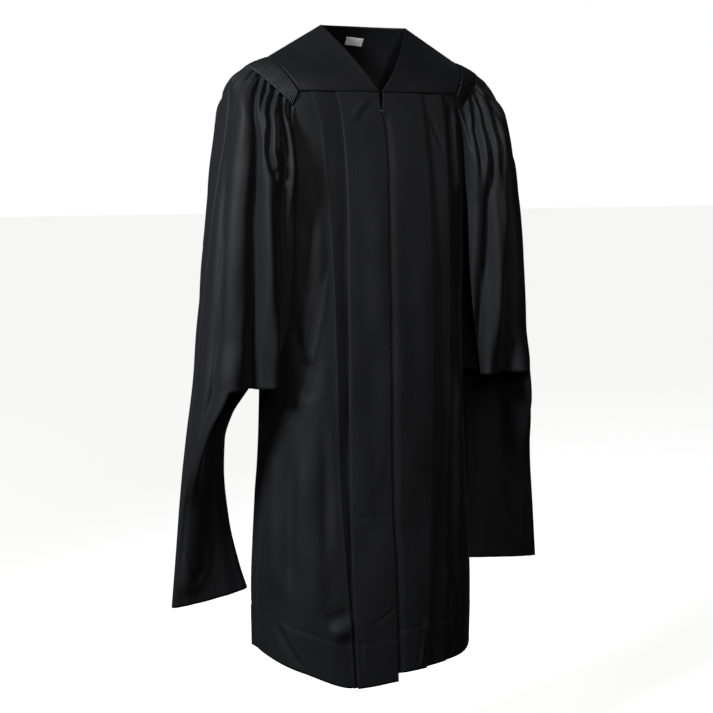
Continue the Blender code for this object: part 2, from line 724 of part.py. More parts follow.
def build_sleeve_layer(name, side, layer, columns):
    """One layer of a sleeve; the mouth is a slit across the front layer."""
    rows = HEAD_ROWS + TUBE_ROWS + 1 + HANG_ROWS
    mouth_row = HEAD_ROWS + TUBE_ROWS
    mesh = bpy.data.meshes.new(name)
    shape = bmesh.new()
    bmesh.ops.create_grid(shape, x_segments=columns, y_segments=rows, size=0.5)
    drop = []
    for face in shape.faces:
        centre = face.calc_center_median()
        column = (centre.x + 0.5) * columns
        row = (centre.y + 0.5) * rows
        if layer < 0 and column < MOUTH_END and mouth_row < row < mouth_row + 1:
            drop.append(face)
    bmesh.ops.delete(shape, geom=drop, context="FACES")
    for vert in shape.verts:
        column = round((vert.co.x + 0.5) * columns)
        row = round((vert.co.y + 0.5) * rows)
        vert.co = sleeve_place(side, layer, columns, column, row)
    shape.to_mesh(mesh)
    shape.free()
    mesh.materials.append(cloth(name))
    mesh.shade_smooth()
    thing = bpy.data.objects.new(name, mesh)
    wall = thing.modifiers.new("wall", "SOLIDIFY")
    wall.thickness = CLOTH
    wall.offset = 0.0
    gown.objects.link(thing)


for arm, arm_side in (("right", -1), ("left", 1)):
    build_sleeve_layer(f"sleeve_{arm}_front", arm_side, -1, FRONT_COLUMNS)
    build_sleeve_layer(f"sleeve_{arm}_back", arm_side, 1, BACK_LAYER_COLUMNS)


# ---------------------------------------------------------------- zip


def zip_out(z):
    """Distance of the zip's middle plane out from the body, behind both fronts."""
    return 2.0 * read(PLEAT_DEPTH, "layer", z) - ZIP_BEHIND - 0.0026 * smooth((-0.16 - z) / 0.06)


def zip_line(x, z):
    return body_point(x, z, False, zip_out(z))


def tape_place(inner_x, outer_x, column, row):
    z = ZIP_TOP_Z - ZIP_LENGTH * row / ZIP_ROWS
    return zip_line(inner_x + (outer_x - inner_x) * column, z)


TAPE_INNER = CHAIN_WIDTH / 2 + SEAM_GAP
for tape_name, tape_side in (("zip_tape_right", -1), ("zip_tape_left", 1)):
    near = ZIP_X + tape_side * TAPE_INNER
    far = near + tape_side * TAPE_WIDTH
    sheet(
        tape_name, 1, ZIP_ROWS,
        lambda c, r, a=near, b=far: tape_place(a, b, c, r), TAPE_WALL, cloth(tape_name),
    )


def chain_place(column, row):
    top = SLIDER_Z - SLIDER_SIZE[2] / 2 - SEAM_GAP
    bottom = ZIP_TOP_Z - ZIP_LENGTH
    z = top + (bottom - top) * row / ZIP_ROWS
    return zip_line(ZIP_X + (column - 0.5) * CHAIN_WIDTH, z)


sheet("zip_chain", 1, ZIP_ROWS, chain_place, CHAIN_WALL, new_material("zip_chain", ZIP_BLACK, 0.4))

zip_plane = zip_line(ZIP_X, SLIDER_Z)


def box_object(name, size, centre):
    bpy.ops.mesh.primitive_cube_add(size=1.0, location=(0, 0, 0))
    thing = bpy.context.object
    thing.name = name
    thing.data.transform(Matrix.Translation(centre) @ Matrix.Diagonal((*size, 1.0)))
    for user in list(thing.users_collection):
        user.objects.unlink(thing)
    return thing


def ring_object(name, centre, inner, outer, width, sides):
    """A short tube along X."""
    mesh = bpy.data.meshes.new(name)
    shape = bmesh.new()
    for radius in (inner, outer):
        bmesh.ops.create_circle(shape, cap_ends=False, segments=sides, radius=radius)
    bmesh.ops.bridge_loops(shape, edges=shape.edges)
    bmesh.ops.rotate(shape, verts=shape.verts, cent=(0, 0, 0), matrix=Matrix.Rotation(math.pi / 2, 3, "Y"))
    swept = bmesh.ops.extrude_face_region(shape, geom=shape.faces[:])
    moved = [item for item in swept["geom"] if isinstance(item, bmesh.types.BMVert)]
    bmesh.ops.translate(shape, verts=moved, vec=(width, 0, 0))
    bmesh.ops.translate(shape, verts=shape.verts, vec=centre - Vector((width / 2, 0, 0)))
    bmesh.ops.recalc_face_normals(shape, faces=shape.faces)
    shape.to_mesh(mesh)
    shape.free()
    return bpy.data.objects.new(name, mesh)


cutters = bpy.data.collections.new("cutters")
bpy.context.scene.collection.children.link(cutters)


def combine(thing, other, operation):
    other.hide_render = True
    other.display_type = "WIRE"
    cutters.objects.link(other)
    step = thing.modifiers.new(other.name, "BOOLEAN")
    step.object = other
    step.operation = operation


plate_gap = CHAIN_WALL + 2 * SLIDER_PLAY
plate_y = plate_gap / 2 + SLIDER_PLATE / 2
hinge = zip_plane + Vector((0.0, -(plate_gap / 2 + SLIDER_PLATE + RING_INNER + 0.0002), HINGE_UP))

slider = box_object(
    "zip_slider", (SLIDER_SIZE[0], SLIDER_PLATE, SLIDER_SIZE[2]), zip_plane + Vector((0.0, -plate_y, 0.0))
)
gown.objects.link(slider)
slider.data.materials.append(new_material("zip_slider", ZIP_METAL, 0.35, 1.0))
combine(slider, box_object(
    "slider_back", (SLIDER_SIZE[0], SLIDER_PLATE, SLIDER_SIZE[2]), zip_plane + Vector((0.0, plate_y, 0.0))
), "UNION")
combine(slider, box_object(
    "slider_neck", (SLIDER_NECK, plate_gap + SLIDER_PLATE, SLIDER_NECK),
    zip_plane + Vector((0.0, 0.0, SLIDER_SIZE[2] / 2 - SLIDER_NECK / 2)),
), "UNION")
combine(slider, ring_object("slider_ring", hinge, RING_INNER, RING_OUTER, RING_WIDTH, 16), "UNION")

bpy.ops.mesh.primitive_cylinder_add(
    vertices=12, radius=BAR_RADIUS, depth=TAB_WIDTH, location=hinge, rotation=(0, math.pi / 2, 0)
)
tab = bpy.context.object
tab.name = "zip_pull_tab"
for user in list(tab.users_collection):
    user.objects.unlink(tab)
gown.objects.link(tab)
tab.data.materials.append(new_material("zip_pull_tab", ZIP_METAL, 0.35, 1.0))
tab_arm = (TAB_WIDTH - TAB_WINDOW) / 2
for arm_name, arm_x in (("tab_arm_right", -1), ("tab_arm_left", 1)):
    middle = hinge + Vector((arm_x * (TAB_WINDOW + tab_arm) / 2, 0.0, -TAB_OPEN / 2))
    combine(tab, box_object(arm_name, (tab_arm, TAB_WALL, TAB_OPEN), middle), "UNION")
combine(tab, box_object(
    "tab_plate", (TAB_WIDTH, TAB_WALL, TAB_LENGTH - TAB_OPEN),
    hinge + Vector((0.0, 0.0, -(TAB_LENGTH + TAB_OPEN) / 2 + 0.0003)),
), "UNION")
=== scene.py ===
# A black academic gown: plain yokes, fluted sleeve heads, pleated fronts on a centre zip and
# long closed sleeves with a slit mouth. Metres, +Z up, the front faces -Y.
import bisect
import math

import bmesh
import bpy
from mathutils import Matrix, Vector, noise


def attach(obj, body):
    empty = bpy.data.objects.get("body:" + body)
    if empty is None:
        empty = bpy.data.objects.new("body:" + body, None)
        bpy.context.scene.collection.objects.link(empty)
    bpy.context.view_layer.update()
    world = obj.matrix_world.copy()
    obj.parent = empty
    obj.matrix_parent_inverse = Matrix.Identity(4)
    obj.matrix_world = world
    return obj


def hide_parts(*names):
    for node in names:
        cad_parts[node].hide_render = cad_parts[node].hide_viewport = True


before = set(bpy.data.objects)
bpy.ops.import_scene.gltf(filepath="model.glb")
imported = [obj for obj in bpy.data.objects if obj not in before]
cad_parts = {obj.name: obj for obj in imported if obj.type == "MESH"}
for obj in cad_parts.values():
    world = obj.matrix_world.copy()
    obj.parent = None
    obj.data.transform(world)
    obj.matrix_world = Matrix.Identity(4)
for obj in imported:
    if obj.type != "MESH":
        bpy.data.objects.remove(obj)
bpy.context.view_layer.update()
print("frame loaded")


# rows of a table under the names of its columns
def table(columns, *rows):
    return [dict(zip(columns.split(), row)) for row in rows]


# a curve through one column of a table, without overshoot
curveStore = {}


def readCurve(table, key, place, column="z"):
    name = (id(table), key)
    if name not in curveStore:
        rows = sorted(table, key=lambda row: row[column])
        at = [row[column] for row in rows]
        value = [row[key] for row in rows]
        steps = [(value[i + 1] - value[i]) / (at[i + 1] - at[i]) for i in range(len(at) - 1)]
        middle = [0.0 if a * b <= 0 else 2 * a * b / (a + b) for a, b in zip(steps, steps[1:])]
        curveStore[name] = (at, value, [steps[0]] + middle + [steps[-1]])
    at, value, slope = curveStore[name]
    if place <= at[0]:
        return value[0]
    if place >= at[-1]:
        return value[-1]
    i = bisect.bisect_right(at, place) - 1
    span = at[i + 1] - at[i]
    t = (place - at[i]) / span
    return (
        value[i] * (1 + 2 * t) * (1 - t) ** 2 + slope[i] * span * t * (1 - t) ** 2
        + value[i + 1] * t * t * (3 - 2 * t) + slope[i + 1] * span * t * t * (t - 1)
    )


def ease(value):
    value = min(1.0, max(0.0, value))
    return value * value * (3.0 - 2.0 * value)


def power(base, exponent):
    return math.copysign(abs(base) ** exponent, base)


# how a crease runs out: widths that it reaches, and the shoulder that a fold raises on one side
creaseForm = dict(reach=3.0, shoulder=0.45, shoulderPlace=1.7, shoulderTight=1.5)


# a crease is a line on the flat of a piece: points (across, height up), its width and how far it
# stands out, troughs below nought. It fades over a share of its length, or starts part way up
def press(points, width, height, fade=0.25, start=0.0):
    return dict(line=points, width=width, height=height, fade=fade, start=start)


def prepareCreases(creases, scale=1.0):
    for crease in creases:
        crease["line"] = [(a * scale, b) for a, b in crease["line"]]
        reach = crease["width"] * creaseForm["reach"]
        crease["low"] = [min(p[k] for p in crease["line"]) - reach for k in (0, 1)]
        crease["high"] = [max(p[k] for p in crease["line"]) + reach for k in (0, 1)]
    return creases


def creaseHeight(creases, across, z):
    total = 0.0
    for crease in creases:
        low, high = crease["low"], crease["high"]
        if not (low[0] < across < high[0] and low[1] < z < high[1]):
            continue
        line = crease["line"]
        spans = len(line) - 1
        best = (9.0, 0.0, 1.0)
        for i in range(spans):
            ax, az = line[i]
            bx, bz = line[i + 1]
            dx, dz = bx - ax, bz - az
            t = ((across - ax) * dx + (z - az) * dz) / (dx * dx + dz * dz)
            t = min(1.0, max(0.0, t))
            ox, oz = across - ax - dx * t, z - az - dz * t
            away = math.hypot(ox, oz)
            if away < best[0]:
                best = (away, (i + t) / spans, math.copysign(1.0, ox * dz - oz * dx))
        away, along, hand = best
        share = away / crease["width"]
        fade = ease(min(along / crease["fade"] + crease["start"], (1.0 - along) / crease["fade"]))
        shoulder = 0.0
        if hand > 0:
            beyond = share - creaseForm["shoulderPlace"]
            shoulder = creaseForm["shoulder"] * math.exp(-beyond ** 2 * creaseForm["shoulderTight"])
        total += crease["height"] * fade * (math.exp(-share * share) - shoulder)
    return total


# soft crumples of a hanging cloth, longer down it than across
crumples = dict(size=0.05, stiffSize=0.35, stretch=2.5)


def crumple(point, size, height):
    across, seed, down = point
    return height * noise.noise(Vector((across / size, seed / size, down / size / crumples["stretch"])))


# forms, the same as the solids': half width, depths in front and behind, and how square a section is
body = dict(
    sections=table(
        "z half front back square",
        (-0.123, 0.193, 0.072, 0.082, 5.0),
        (-0.200, 0.194, 0.077, 0.092, 4.2),
        (-0.280, 0.195, 0.087, 0.100, 3.6),
        (-0.350, 0.196, 0.095, 0.105, 3.0),
        (-0.600, 0.201, 0.110, 0.112, 2.5),
        (-0.720, 0.204, 0.114, 0.116, 2.4),
        (-0.850, 0.210, 0.120, 0.122, 2.3),
        (-0.960, 0.218, 0.127, 0.128, 2.2),
        (-1.060, 0.223, 0.134, 0.134, 2.2),
        (-1.240, 0.221, 0.146, 0.142, 2.15),
    ),
    armhole=table(
        "z front back",
        (-0.123, 0.158, 0.150),
        (-0.150, 0.166, 0.158),
        (-0.200, 0.179, 0.174),
        (-0.280, 0.191, 0.189),
        (-0.350, 0.196, 0.196),
    ),
    hem=table(
        "turn right left",
        (0, -1.220, -1.205),
        (30, -1.224, -1.204),
        (60, -1.194, -1.200),
        (90, -1.168, -1.190),
        (180, -1.190, -1.190),
    ),
    underarm=-0.350,
    cloth=0.0016,              # wall of the solid
    shown=0.0007,              # wall of the cloth as shown
    hemLevel=-1.20,
)


def bodyNumbers(z, behind):
    side = "back" if behind else "front"
    sections = body["sections"]
    return readCurve(sections, "half", z), readCurve(sections, side, z), readCurve(sections, "square", z)


def bodyPoint(x, z, behind=False, out=0.0):
    half, depth, square = bodyNumbers(z, behind)
    share = min(0.99999, abs(x / half))
    y = (1.0 if behind else -1.0) * depth * (1.0 - share ** square) ** (1.0 / square)
    normal = Vector((power(x / half, square - 1) / half, power(y / depth, square - 1) / depth, 0.0))
    return Vector((x, y, z)) + normal.normalized() * out


def bodyTurn(x, z):
    half = readCurve(body["sections"], "half", z)
    square = readCurve(body["sections"], "square", z)
    return math.asin(min(1.0, (abs(x) / half) ** (square / 2.0)))


def bodyAcross(turn, z):
    half = readCurve(body["sections"], "half", z)
    square = readCurve(body["sections"], "square", z)
    return half * math.sin(turn) ** (2.0 / square)


def armholeX(z, behind):
    if z <= body["underarm"]:
        return readCurve(body["sections"], "half", z)
    return readCurve(body["armhole"], "back" if behind else "front", z)


yokes = dict(
    neckHalf=0.0845, top=Vector((0.190, 0.0, -0.060)), cornerX=0.158, backCornerX=0.156,
    frontZ=-0.123, backZ=-0.150, neckBack=(0.046, 0.004), out=0.0030, drop=0.0009,
    ridgeGap=0.0004, neckShare=0.30, wall=0.0012, neckClear=0.0016,
    neckBow=(0.94, 0.95), rimBow=(2.4, 2.0), outerBow=(1.5, 1.3),      # powers of the curved edges
    frontGrid=(64, 56), backGrid=(130, 48),
    frontSize=(0.14, 0.10), backSize=(0.40, 0.16), crumpled=(0.0012, 0.0014),
    edgeTurn=0.003, edgeRise=0.0006, stitchIn=0.0045, stitchWide=0.0010, stitchDeep=0.0005,
)


def neckEdge(share):
    sideBow, frontBow = yokes["neckBow"]
    x = yokes["neckHalf"] * (1.0 - share) ** sideBow + yokes["neckClear"]
    y = -(readCurve(body["sections"], "front", yokes["frontZ"]) + yokes["out"])
    return Vector((x, y * math.sin(share * math.pi / 2.0) ** frontBow, yokes["frontZ"] * share))


def yokeOuterEdge(share, behind=False):
    lowZ = yokes["backZ"] if behind else yokes["frontZ"]
    corner = bodyPoint(yokes["backCornerX"] if behind else yokes["cornerX"], lowZ, behind, yokes["out"])
    top = yokes["top"]
    acrossBow, downBow = yokes["outerBow"]
    x = top.x + (corner.x - top.x) * share ** acrossBow
    y = corner.y * math.sin(share * math.pi / 2.0)
    return Vector((x, y, top.z + (lowZ - top.z) * share ** downBow))


def coons(top, bottom, left, right, u, v):
    along = top(u) * (1 - v) + bottom(u) * v
    across = left(v) * (1 - u) + right(v) * u
    corners = (top(0) * (1 - u) + top(1) * u) * (1 - v) + (bottom(0) * (1 - u) + bottom(1) * u) * v
    return along + across - corners


def frontYokePoint(u, v):
    def top(share):
        return neckEdge(0.0).lerp(yokes["top"], share)

    def bottom(share):
        start = neckEdge(1.0).x
        return bodyPoint(start + (yokes["cornerX"] - start) * share, yokes["frontZ"], False, yokes["out"])

    point = coons(top, bottom, neckEdge, yokeOuterEdge, u, v)
    point.y -= yokes["ridgeGap"] * (1.0 - v)
    return point


def backYokePoint(u, v):
    neckPoint = neckEdge(0.0)

    def top(share):
        mirrored = abs(share * 2.0 - 1.0)
        inner = 1.0 - 2.0 * yokes["neckShare"]
        if mirrored > inner:
            point = neckPoint.lerp(yokes["top"], (mirrored - inner) / (1.0 - inner))
        else:
            part = mirrored / inner
            (behind, above), (backBow, upBow) = yokes["neckBack"], yokes["rimBow"]
            y, z = behind * (1.0 - part ** backBow), above * (1.0 - part ** upBow)
            point = Vector((neckPoint.x * part, y, z))
        point.x *= math.copysign(1.0, share - 0.5)
        return point

    def bottom(share):
        return bodyPoint((share * 2.0 - 1.0) * yokes["backCornerX"], yokes["backZ"], True, yokes["out"])

    def left(share):
        point = yokeOuterEdge(share, True)
        point.x *= -1.0
        return point

    def right(share):
        return yokeOuterEdge(share, True)

    point = coons(top, bottom, left, right, u, v)
    point.y += yokes["ridgeGap"] * (1.0 - v)
    return point


# materials
def toLinear(hexColour):
    values = [int(hexColour[i:i + 2], 16) / 255 for i in (1, 3, 5)]
    return tuple(v / 12.92 if v <= 0.04045 else ((v + 0.055) / 1.055) ** 2.4 for v in values) + (1.0,)


def addNode(tree, kind, links=None, **settings):
    node = tree.nodes.new(kind)
    for name, value in settings.items():
        if hasattr(node, name):
            setattr(node, name, value)
    for socket, value in (links or {}).items():
        if isinstance(value, bpy.types.NodeSocket):
            tree.links.new(value, node.inputs[socket])
        else:
            node.inputs[socket].default_value = value
    return node


def startMaterial(name):
    material = bpy.data.materials.new(name)
    material.use_nodes = True
    return material, material.node_tree, material.node_tree.nodes["Principled BSDF"]


# polyester gown cloth, plain woven and pressed: near black, dull, with a faint satin edge
def wovenPolyester(name, settings):
    material, tree, shader = startMaterial(name)
    place = addNode(tree, "ShaderNodeTexCoord").outputs["Object"]
    threads = addNode(tree, "ShaderNodeTexCoord").outputs["UV"]
    cloudScale, fibreScale = settings["cloudScale"], settings["fibreScale"]
    cloudy = addNode(tree, "ShaderNodeTexNoise", {"Vector": place, "Scale": cloudScale, "Detail": 3.0})
    fine = addNode(tree, "ShaderNodeTexNoise", {"Vector": place, "Scale": fibreScale, "Detail": 2.0})
    ramp = addNode(tree, "ShaderNodeValToRGB", {"Fac": cloudy.outputs["Fac"]})
    for element, colour, position in zip(ramp.color_ramp.elements, settings["colours"], settings["clouds"]):
        element.color = toLinear(colour)
        element.position = position
    tree.links.new(ramp.outputs["Color"], shader.inputs["Base Color"])
    weave = {"Vector": threads, "Scale": settings["weaveScale"]}
    warp = addNode(tree, "ShaderNodeTexWave", weave)
    weft = addNode(tree, "ShaderNodeTexWave", weave, bands_direction="Y")
    crossed = {0: warp.outputs["Fac"], 1: weft.outputs["Fac"]}
    woven = addNode(tree, "ShaderNodeMath", crossed, operation="MULTIPLY")
    middle, spread = settings["roughness"], settings["spread"]
    rough = addNode(
        tree, "ShaderNodeMapRange",
        {"Value": fine.outputs["Fac"], "To Min": middle - spread, "To Max": middle + spread},
    )
    tree.links.new(rough.outputs["Result"], shader.inputs["Roughness"])
    fibred = {0: woven.outputs["Value"], 1: fine.outputs["Fac"]}
    height = addNode(tree, "ShaderNodeMath", fibred, operation="ADD")
    bump = addNode(
        tree, "ShaderNodeBump",
        {"Height": height.outputs["Value"], "Strength": settings["relief"],
         "Distance": settings["reliefDepth"]},
    )
    tree.links.new(bump.outputs["Normal"], shader.inputs["Normal"])
    shader.inputs["Specular IOR Level"].default_value = settings["specular"]
    shader.inputs["Sheen Weight"].default_value = settings["sheen"]
    shader.inputs["Sheen Roughness"].default_value = settings["sheenRoughness"]
    shader.inputs["Sheen Tint"].default_value = toLinear(settings["sheenTint"])
    return material


gownCloth = dict(
    colours=("#0b0b0c", "#111113"), clouds=(0.30, 0.72), roughness=0.70, spread=0.06,
    relief=0.35, reliefDepth=0.0003,
    specular=0.26, sheen=0.03, sheenRoughness=0.45, sheenTint="#c9cdd8", cloudScale=9.0, fibreScale=420.0,
    # threads are 0.3 mm apart on the real cloth: this draws them 5.7 mm apart, so that they show
    weaveScale=0.05 / 0.0009,
)
yokeCloth = dict(gownCloth, roughness=0.54, relief=0.30)
bandCloth = dict(gownCloth, roughness=0.58)

materials = dict(
    gown=wovenPolyester("wovenPolyesterBlack", gownCloth),
    yoke=wovenPolyester("interfacedPolyesterBlack", yokeCloth),
    band=wovenPolyester("flutedPolyesterBlack", bandCloth),
)


# satin woven label, washed white, with its warp showing
def satinLabel(name, warpScale=90.0):
    material, tree, shader = startMaterial(name)
    place = addNode(tree, "ShaderNodeTexCoord").outputs["UV"]
    lines = addNode(tree, "ShaderNodeTexWave", {"Vector": place, "Scale": warpScale})
    ramp = addNode(tree, "ShaderNodeValToRGB", {"Fac": lines.outputs["Fac"]})
    ramp.color_ramp.elements[0].color = toLinear("#c9c8c4")
    ramp.color_ramp.elements[1].color = toLinear("#dddcd8")
    tree.links.new(ramp.outputs["Color"], shader.inputs["Base Color"])
    raised = {"Height": lines.outputs["Fac"], "Strength": 0.2, "Distance": 0.0002}
    bump = addNode(tree, "ShaderNodeBump", raised)
    tree.links.new(bump.outputs["Normal"], shader.inputs["Normal"])
    shader.inputs["Roughness"].default_value = 0.5
    return material


# zinc alloy, barrel plated in dark nickel and rubbed a little by handling
def platedZinc(name, rubScale=700.0):
    material, tree, shader = startMaterial(name)
    place = addNode(tree, "ShaderNodeTexCoord").outputs["Object"]
    rubbed = addNode(tree, "ShaderNodeTexNoise", {"Vector": place, "Scale": rubScale, "Detail": 4.0})
    ramp = addNode(tree, "ShaderNodeValToRGB", {"Fac": rubbed.outputs["Fac"]})
    ramp.color_ramp.elements[0].color = toLinear("#141415")
    ramp.color_ramp.elements[1].color = toLinear("#232325")
    tree.links.new(ramp.outputs["Color"], shader.inputs["Base Color"])
    worn = {"Value": rubbed.outputs["Fac"], "To Min": 0.25, "To Max": 0.45}
    rough = addNode(tree, "ShaderNodeMapRange", worn)
    tree.links.new(rough.outputs["Result"], shader.inputs["Roughness"])
    shader.inputs["Metallic"].default_value = 1.0
    return material


# nylon coil, dyed black and smooth
def nylonCoil(name, wearScale=260.0):
    material, tree, shader = startMaterial(name)
    place = addNode(tree, "ShaderNodeTexCoord").outputs["Object"]
    worn = addNode(tree, "ShaderNodeTexNoise", {"Vector": place, "Scale": wearScale})
    ramp = addNode(tree, "ShaderNodeValToRGB", {"Fac": worn.outputs["Fac"]})
    ramp.color_ramp.elements[0].color = toLinear("#111112")
    ramp.color_ramp.elements[1].color = toLinear("#1e1e20")
    tree.links.new(ramp.outputs["Color"], shader.inputs["Base Color"])
    shader.inputs["Roughness"].default_value = 0.38
    return material


materials["label"] = satinLabel("wovenSatinWhite")
materials["metal"] = platedZinc("platedZincDark")
materials["coil"] = nylonCoil("nylonCoilBlack")
print("materials made")


# one cloth piece: a grid laid over its form
def layCloth(name, node, columns, rows, place, material, wall, flat, held, restsOn, area=None, drop=None):
    mesh = bpy.data.meshes.new(name)
    shape = bmesh.new()
    bmesh.ops.create_grid(shape, x_segments=columns, y_segments=rows, size=0.5)
    spots = {
        vert: (round((vert.co.x + 0.5) * columns), round((vert.co.y + 0.5) * rows)) for vert in shape.verts
    }
    uv = shape.loops.layers.uv.new("threads")
    for face in shape.faces:
        for loop in face.loops:
            column, row = spots[loop.vert]
            loop[uv].uv = (column / columns * flat[0], row / rows * flat[1])
    if drop is not None:
        unwanted = [face for face in shape.faces if drop(
            sum(spots[v][0] for v in face.verts) / 4, sum(spots[v][1] for v in face.verts) / 4)]
        bmesh.ops.delete(shape, geom=unwanted, context="FACES")
    for vert in shape.verts:
        vert.co = place(*spots[vert])
    shape.to_mesh(mesh)
    shape.free()
    mesh.materials.append(material)
    mesh.shade_smooth()
    piece = bpy.data.objects.new(name, mesh)
    bpy.context.scene.collection.objects.link(piece)
    shell = piece.modifiers.new("clothWall", "SOLIDIFY")
    shell.thickness = wall
    shell.offset = 0.0
    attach(piece, "gown")
    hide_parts(node)
    print(name, "laid")


# fronts: two pleats each, lapping over the zip
fronts = dict(
    pleats={
        -1: table(
            "z edge first second",
            (-0.123, 0.0035, 0.0890, 0.1370),
            (-0.150, 0.0015, 0.0820, 0.1290),
            (-0.195, -0.0055, 0.0765, 0.1190),
            (-0.250, -0.0070, 0.0748, 0.1155),
            (-0.310, -0.0035, 0.0746, 0.1125),
            (-0.430, -0.0005, 0.0765, 0.1065),
            (-0.620, 0.0010, 0.0785, 0.1030),
            (-0.780, 0.0015, 0.0795, 0.1010),
            (-0.900, 0.0015, 0.0800, 0.0975),
            (-1.000, -0.0025, 0.0800, 0.0920),
            (-1.240, -0.0035, 0.0750, 0.0820),
        ),
        1: table(
            "z edge first second",
            (-0.123, 0.0045, 0.0820, 0.1260),
            (-0.195, 0.0005, 0.0900, 0.1320),
            (-0.300, -0.0120, 0.0940, 0.1340),
            (-0.430, -0.0140, 0.0940, 0.1350),
            (-0.620, -0.0140, 0.0945, 0.1330),
            (-0.780, -0.0140, 0.0910, 0.1300),
            (-1.000, -0.0140, 0.0780, 0.1220),
            (-1.240, -0.0140, 0.0620, 0.1120),
        ),
    },
    depth=table(
        "z layer tuck layerTwo tuckTwo rise",
        (-0.123, 0.0012, 0.018, 0.0012, 0.012, 0.000),
        (-0.150, 0.0020, 0.018, 0.0018, 0.010, 0.000),
        (-0.250, 0.0030, 0.016, 0.0022, 0.008, 0.001),
        (-0.430, 0.0042, 0.014, 0.0024, 0.005, 0.003),
        (-0.700, 0.0046, 0.012, 0.0024, 0.003, 0.004),
        (-1.000, 0.0036, 0.012, 0.0014, 0.002, 0.002),
        (-1.240, 0.0026, 0.012, 0.0012, 0.002, 0.000),
    ),
    sideSteps=52, rows=250, sideWave=0.005, arc=(90, 60, 30, 0, -30, -60, -90),
    lapGap=0.0010, lapFrom=-0.150, lapOver=0.030, lapEdge=0.006, lapStep=0.012, lapClear=0.004,
    underYoke=0.0016,          # the pleats' undersides run up this far behind the yoke
    crumpleFrom=0.25, crumpled=0.0022, sideCrumpled=0.0030, tuckedCrease=0.4,
    # across and height on the front, in metres; across is nought at the middle
    creases={
        -1: prepareCreases([
            press([(0.02, -0.135), (0.042, -0.15), (0.06, -0.175)], 0.006, 0.0016),
            press([(0.01, -0.78), (0.024, -0.8), (0.03, -0.84)], 0.008, 0.0007),
            press([(0.148, -0.6), (0.15, -0.64), (0.153, -0.69)], 0.014, -0.003),
            press([(0.205, -0.77), (0.2, -0.84), (0.206, -0.92)], 0.005, 0.0016),
            press([(0.118, -0.43), (0.131, -0.512), (0.143, -0.575), (0.16, -0.655), (0.178, -0.713),
                   (0.195, -0.745)], 0.0040, -0.0020, fade=0.10),
            press([(0.126, -0.44), (0.139, -0.515), (0.151, -0.58), (0.169, -0.65)],
                  0.004, -0.0016, fade=0.15),
            press([(0.187, -0.64), (0.192, -0.69), (0.197, -0.748)], 0.005, -0.0024),
            press([(0.195, -0.735), (0.202, -0.909), (0.207, -1.075)], 0.011, 0.006),
            press([(0.18, -0.76), (0.186, -0.909), (0.19, -1.05)], 0.012, -0.0045),
            press([(0.17, -0.535), (0.163, -0.585), (0.15, -0.64)], 0.008, -0.0026),
            press([(0.146, -0.33), (0.149, -0.43), (0.152, -0.52)], 0.012, -0.0035),
            press([(0.13, -0.2), (0.138, -0.33), (0.14, -0.48)], 0.014, 0.0018),
            press([(0.083, -0.901), (0.04, -0.904), (-0.01, -0.907)], 0.0022, -0.0006),
            press([(0.083, -0.911), (0.04, -0.912), (-0.01, -0.914)], 0.006, 0.0004),
            press([(0.124, -1.122), (0.1, -1.112), (0.078, -1.108)], 0.015, 0.007),
            press([(0.057, -1.11), (0.03, -1.097), (0.0, -1.076)], 0.003, -0.0014),
            press([(0.068, -1.13), (0.069, -1.2)], 0.003, -0.0016),
            press([(0.212, -1.095), (0.19, -1.15), (0.172, -1.185)], 0.005, -0.0026),
            press([(0.16, -0.78), (0.15, -0.95), (0.155, -1.12)], 0.018, 0.004),
            press([(0.04, -0.25), (0.045, -0.52), (0.04, -0.8)], 0.02, -0.0016),
            press([(0.128, -0.7), (0.124, -0.85), (0.128, -1.0)], 0.009, -0.003),
        ]),
        1: prepareCreases([
            press([(0.101, -0.165), (0.112, -0.195), (0.128, -0.228)], 0.0035, -0.0022),
            press([(0.156, -0.135), (0.16, -0.22), (0.166, -0.33)], 0.006, 0.003),
            press([(0.145, -0.135), (0.149, -0.23), (0.156, -0.33)], 0.006, -0.003),
            press([(0.04, -0.905), (0.083, -0.914), (0.1, -0.918)], 0.0022, -0.0006),
            press([(0.0, -0.91), (0.06, -0.92), (0.1, -0.926)], 0.006, 0.0004),
            press([(0.06, -1.112), (0.078, -1.132), (0.095, -1.16)], 0.008, 0.003),
            press([(0.061, -1.14), (0.056, -1.17), (0.051, -1.203)], 0.003, 0.002),
            press([(0.17, -0.42), (0.178, -0.6), (0.176, -0.8)], 0.014, -0.005),
            press([(0.15, -0.62), (0.16, -0.8), (0.158, -1.0)], 0.016, 0.0045),
            press([(0.13, -0.98), (0.15, -1.08), (0.148, -1.18)], 0.01, -0.004),
            press([(0.045, -0.3), (0.052, -0.52), (0.048, -0.76)], 0.018, -0.0016),
            press([(0.19, -0.48), (0.198, -0.64), (0.2, -0.8)], 0.008, -0.0036),
        ]),
    },
)


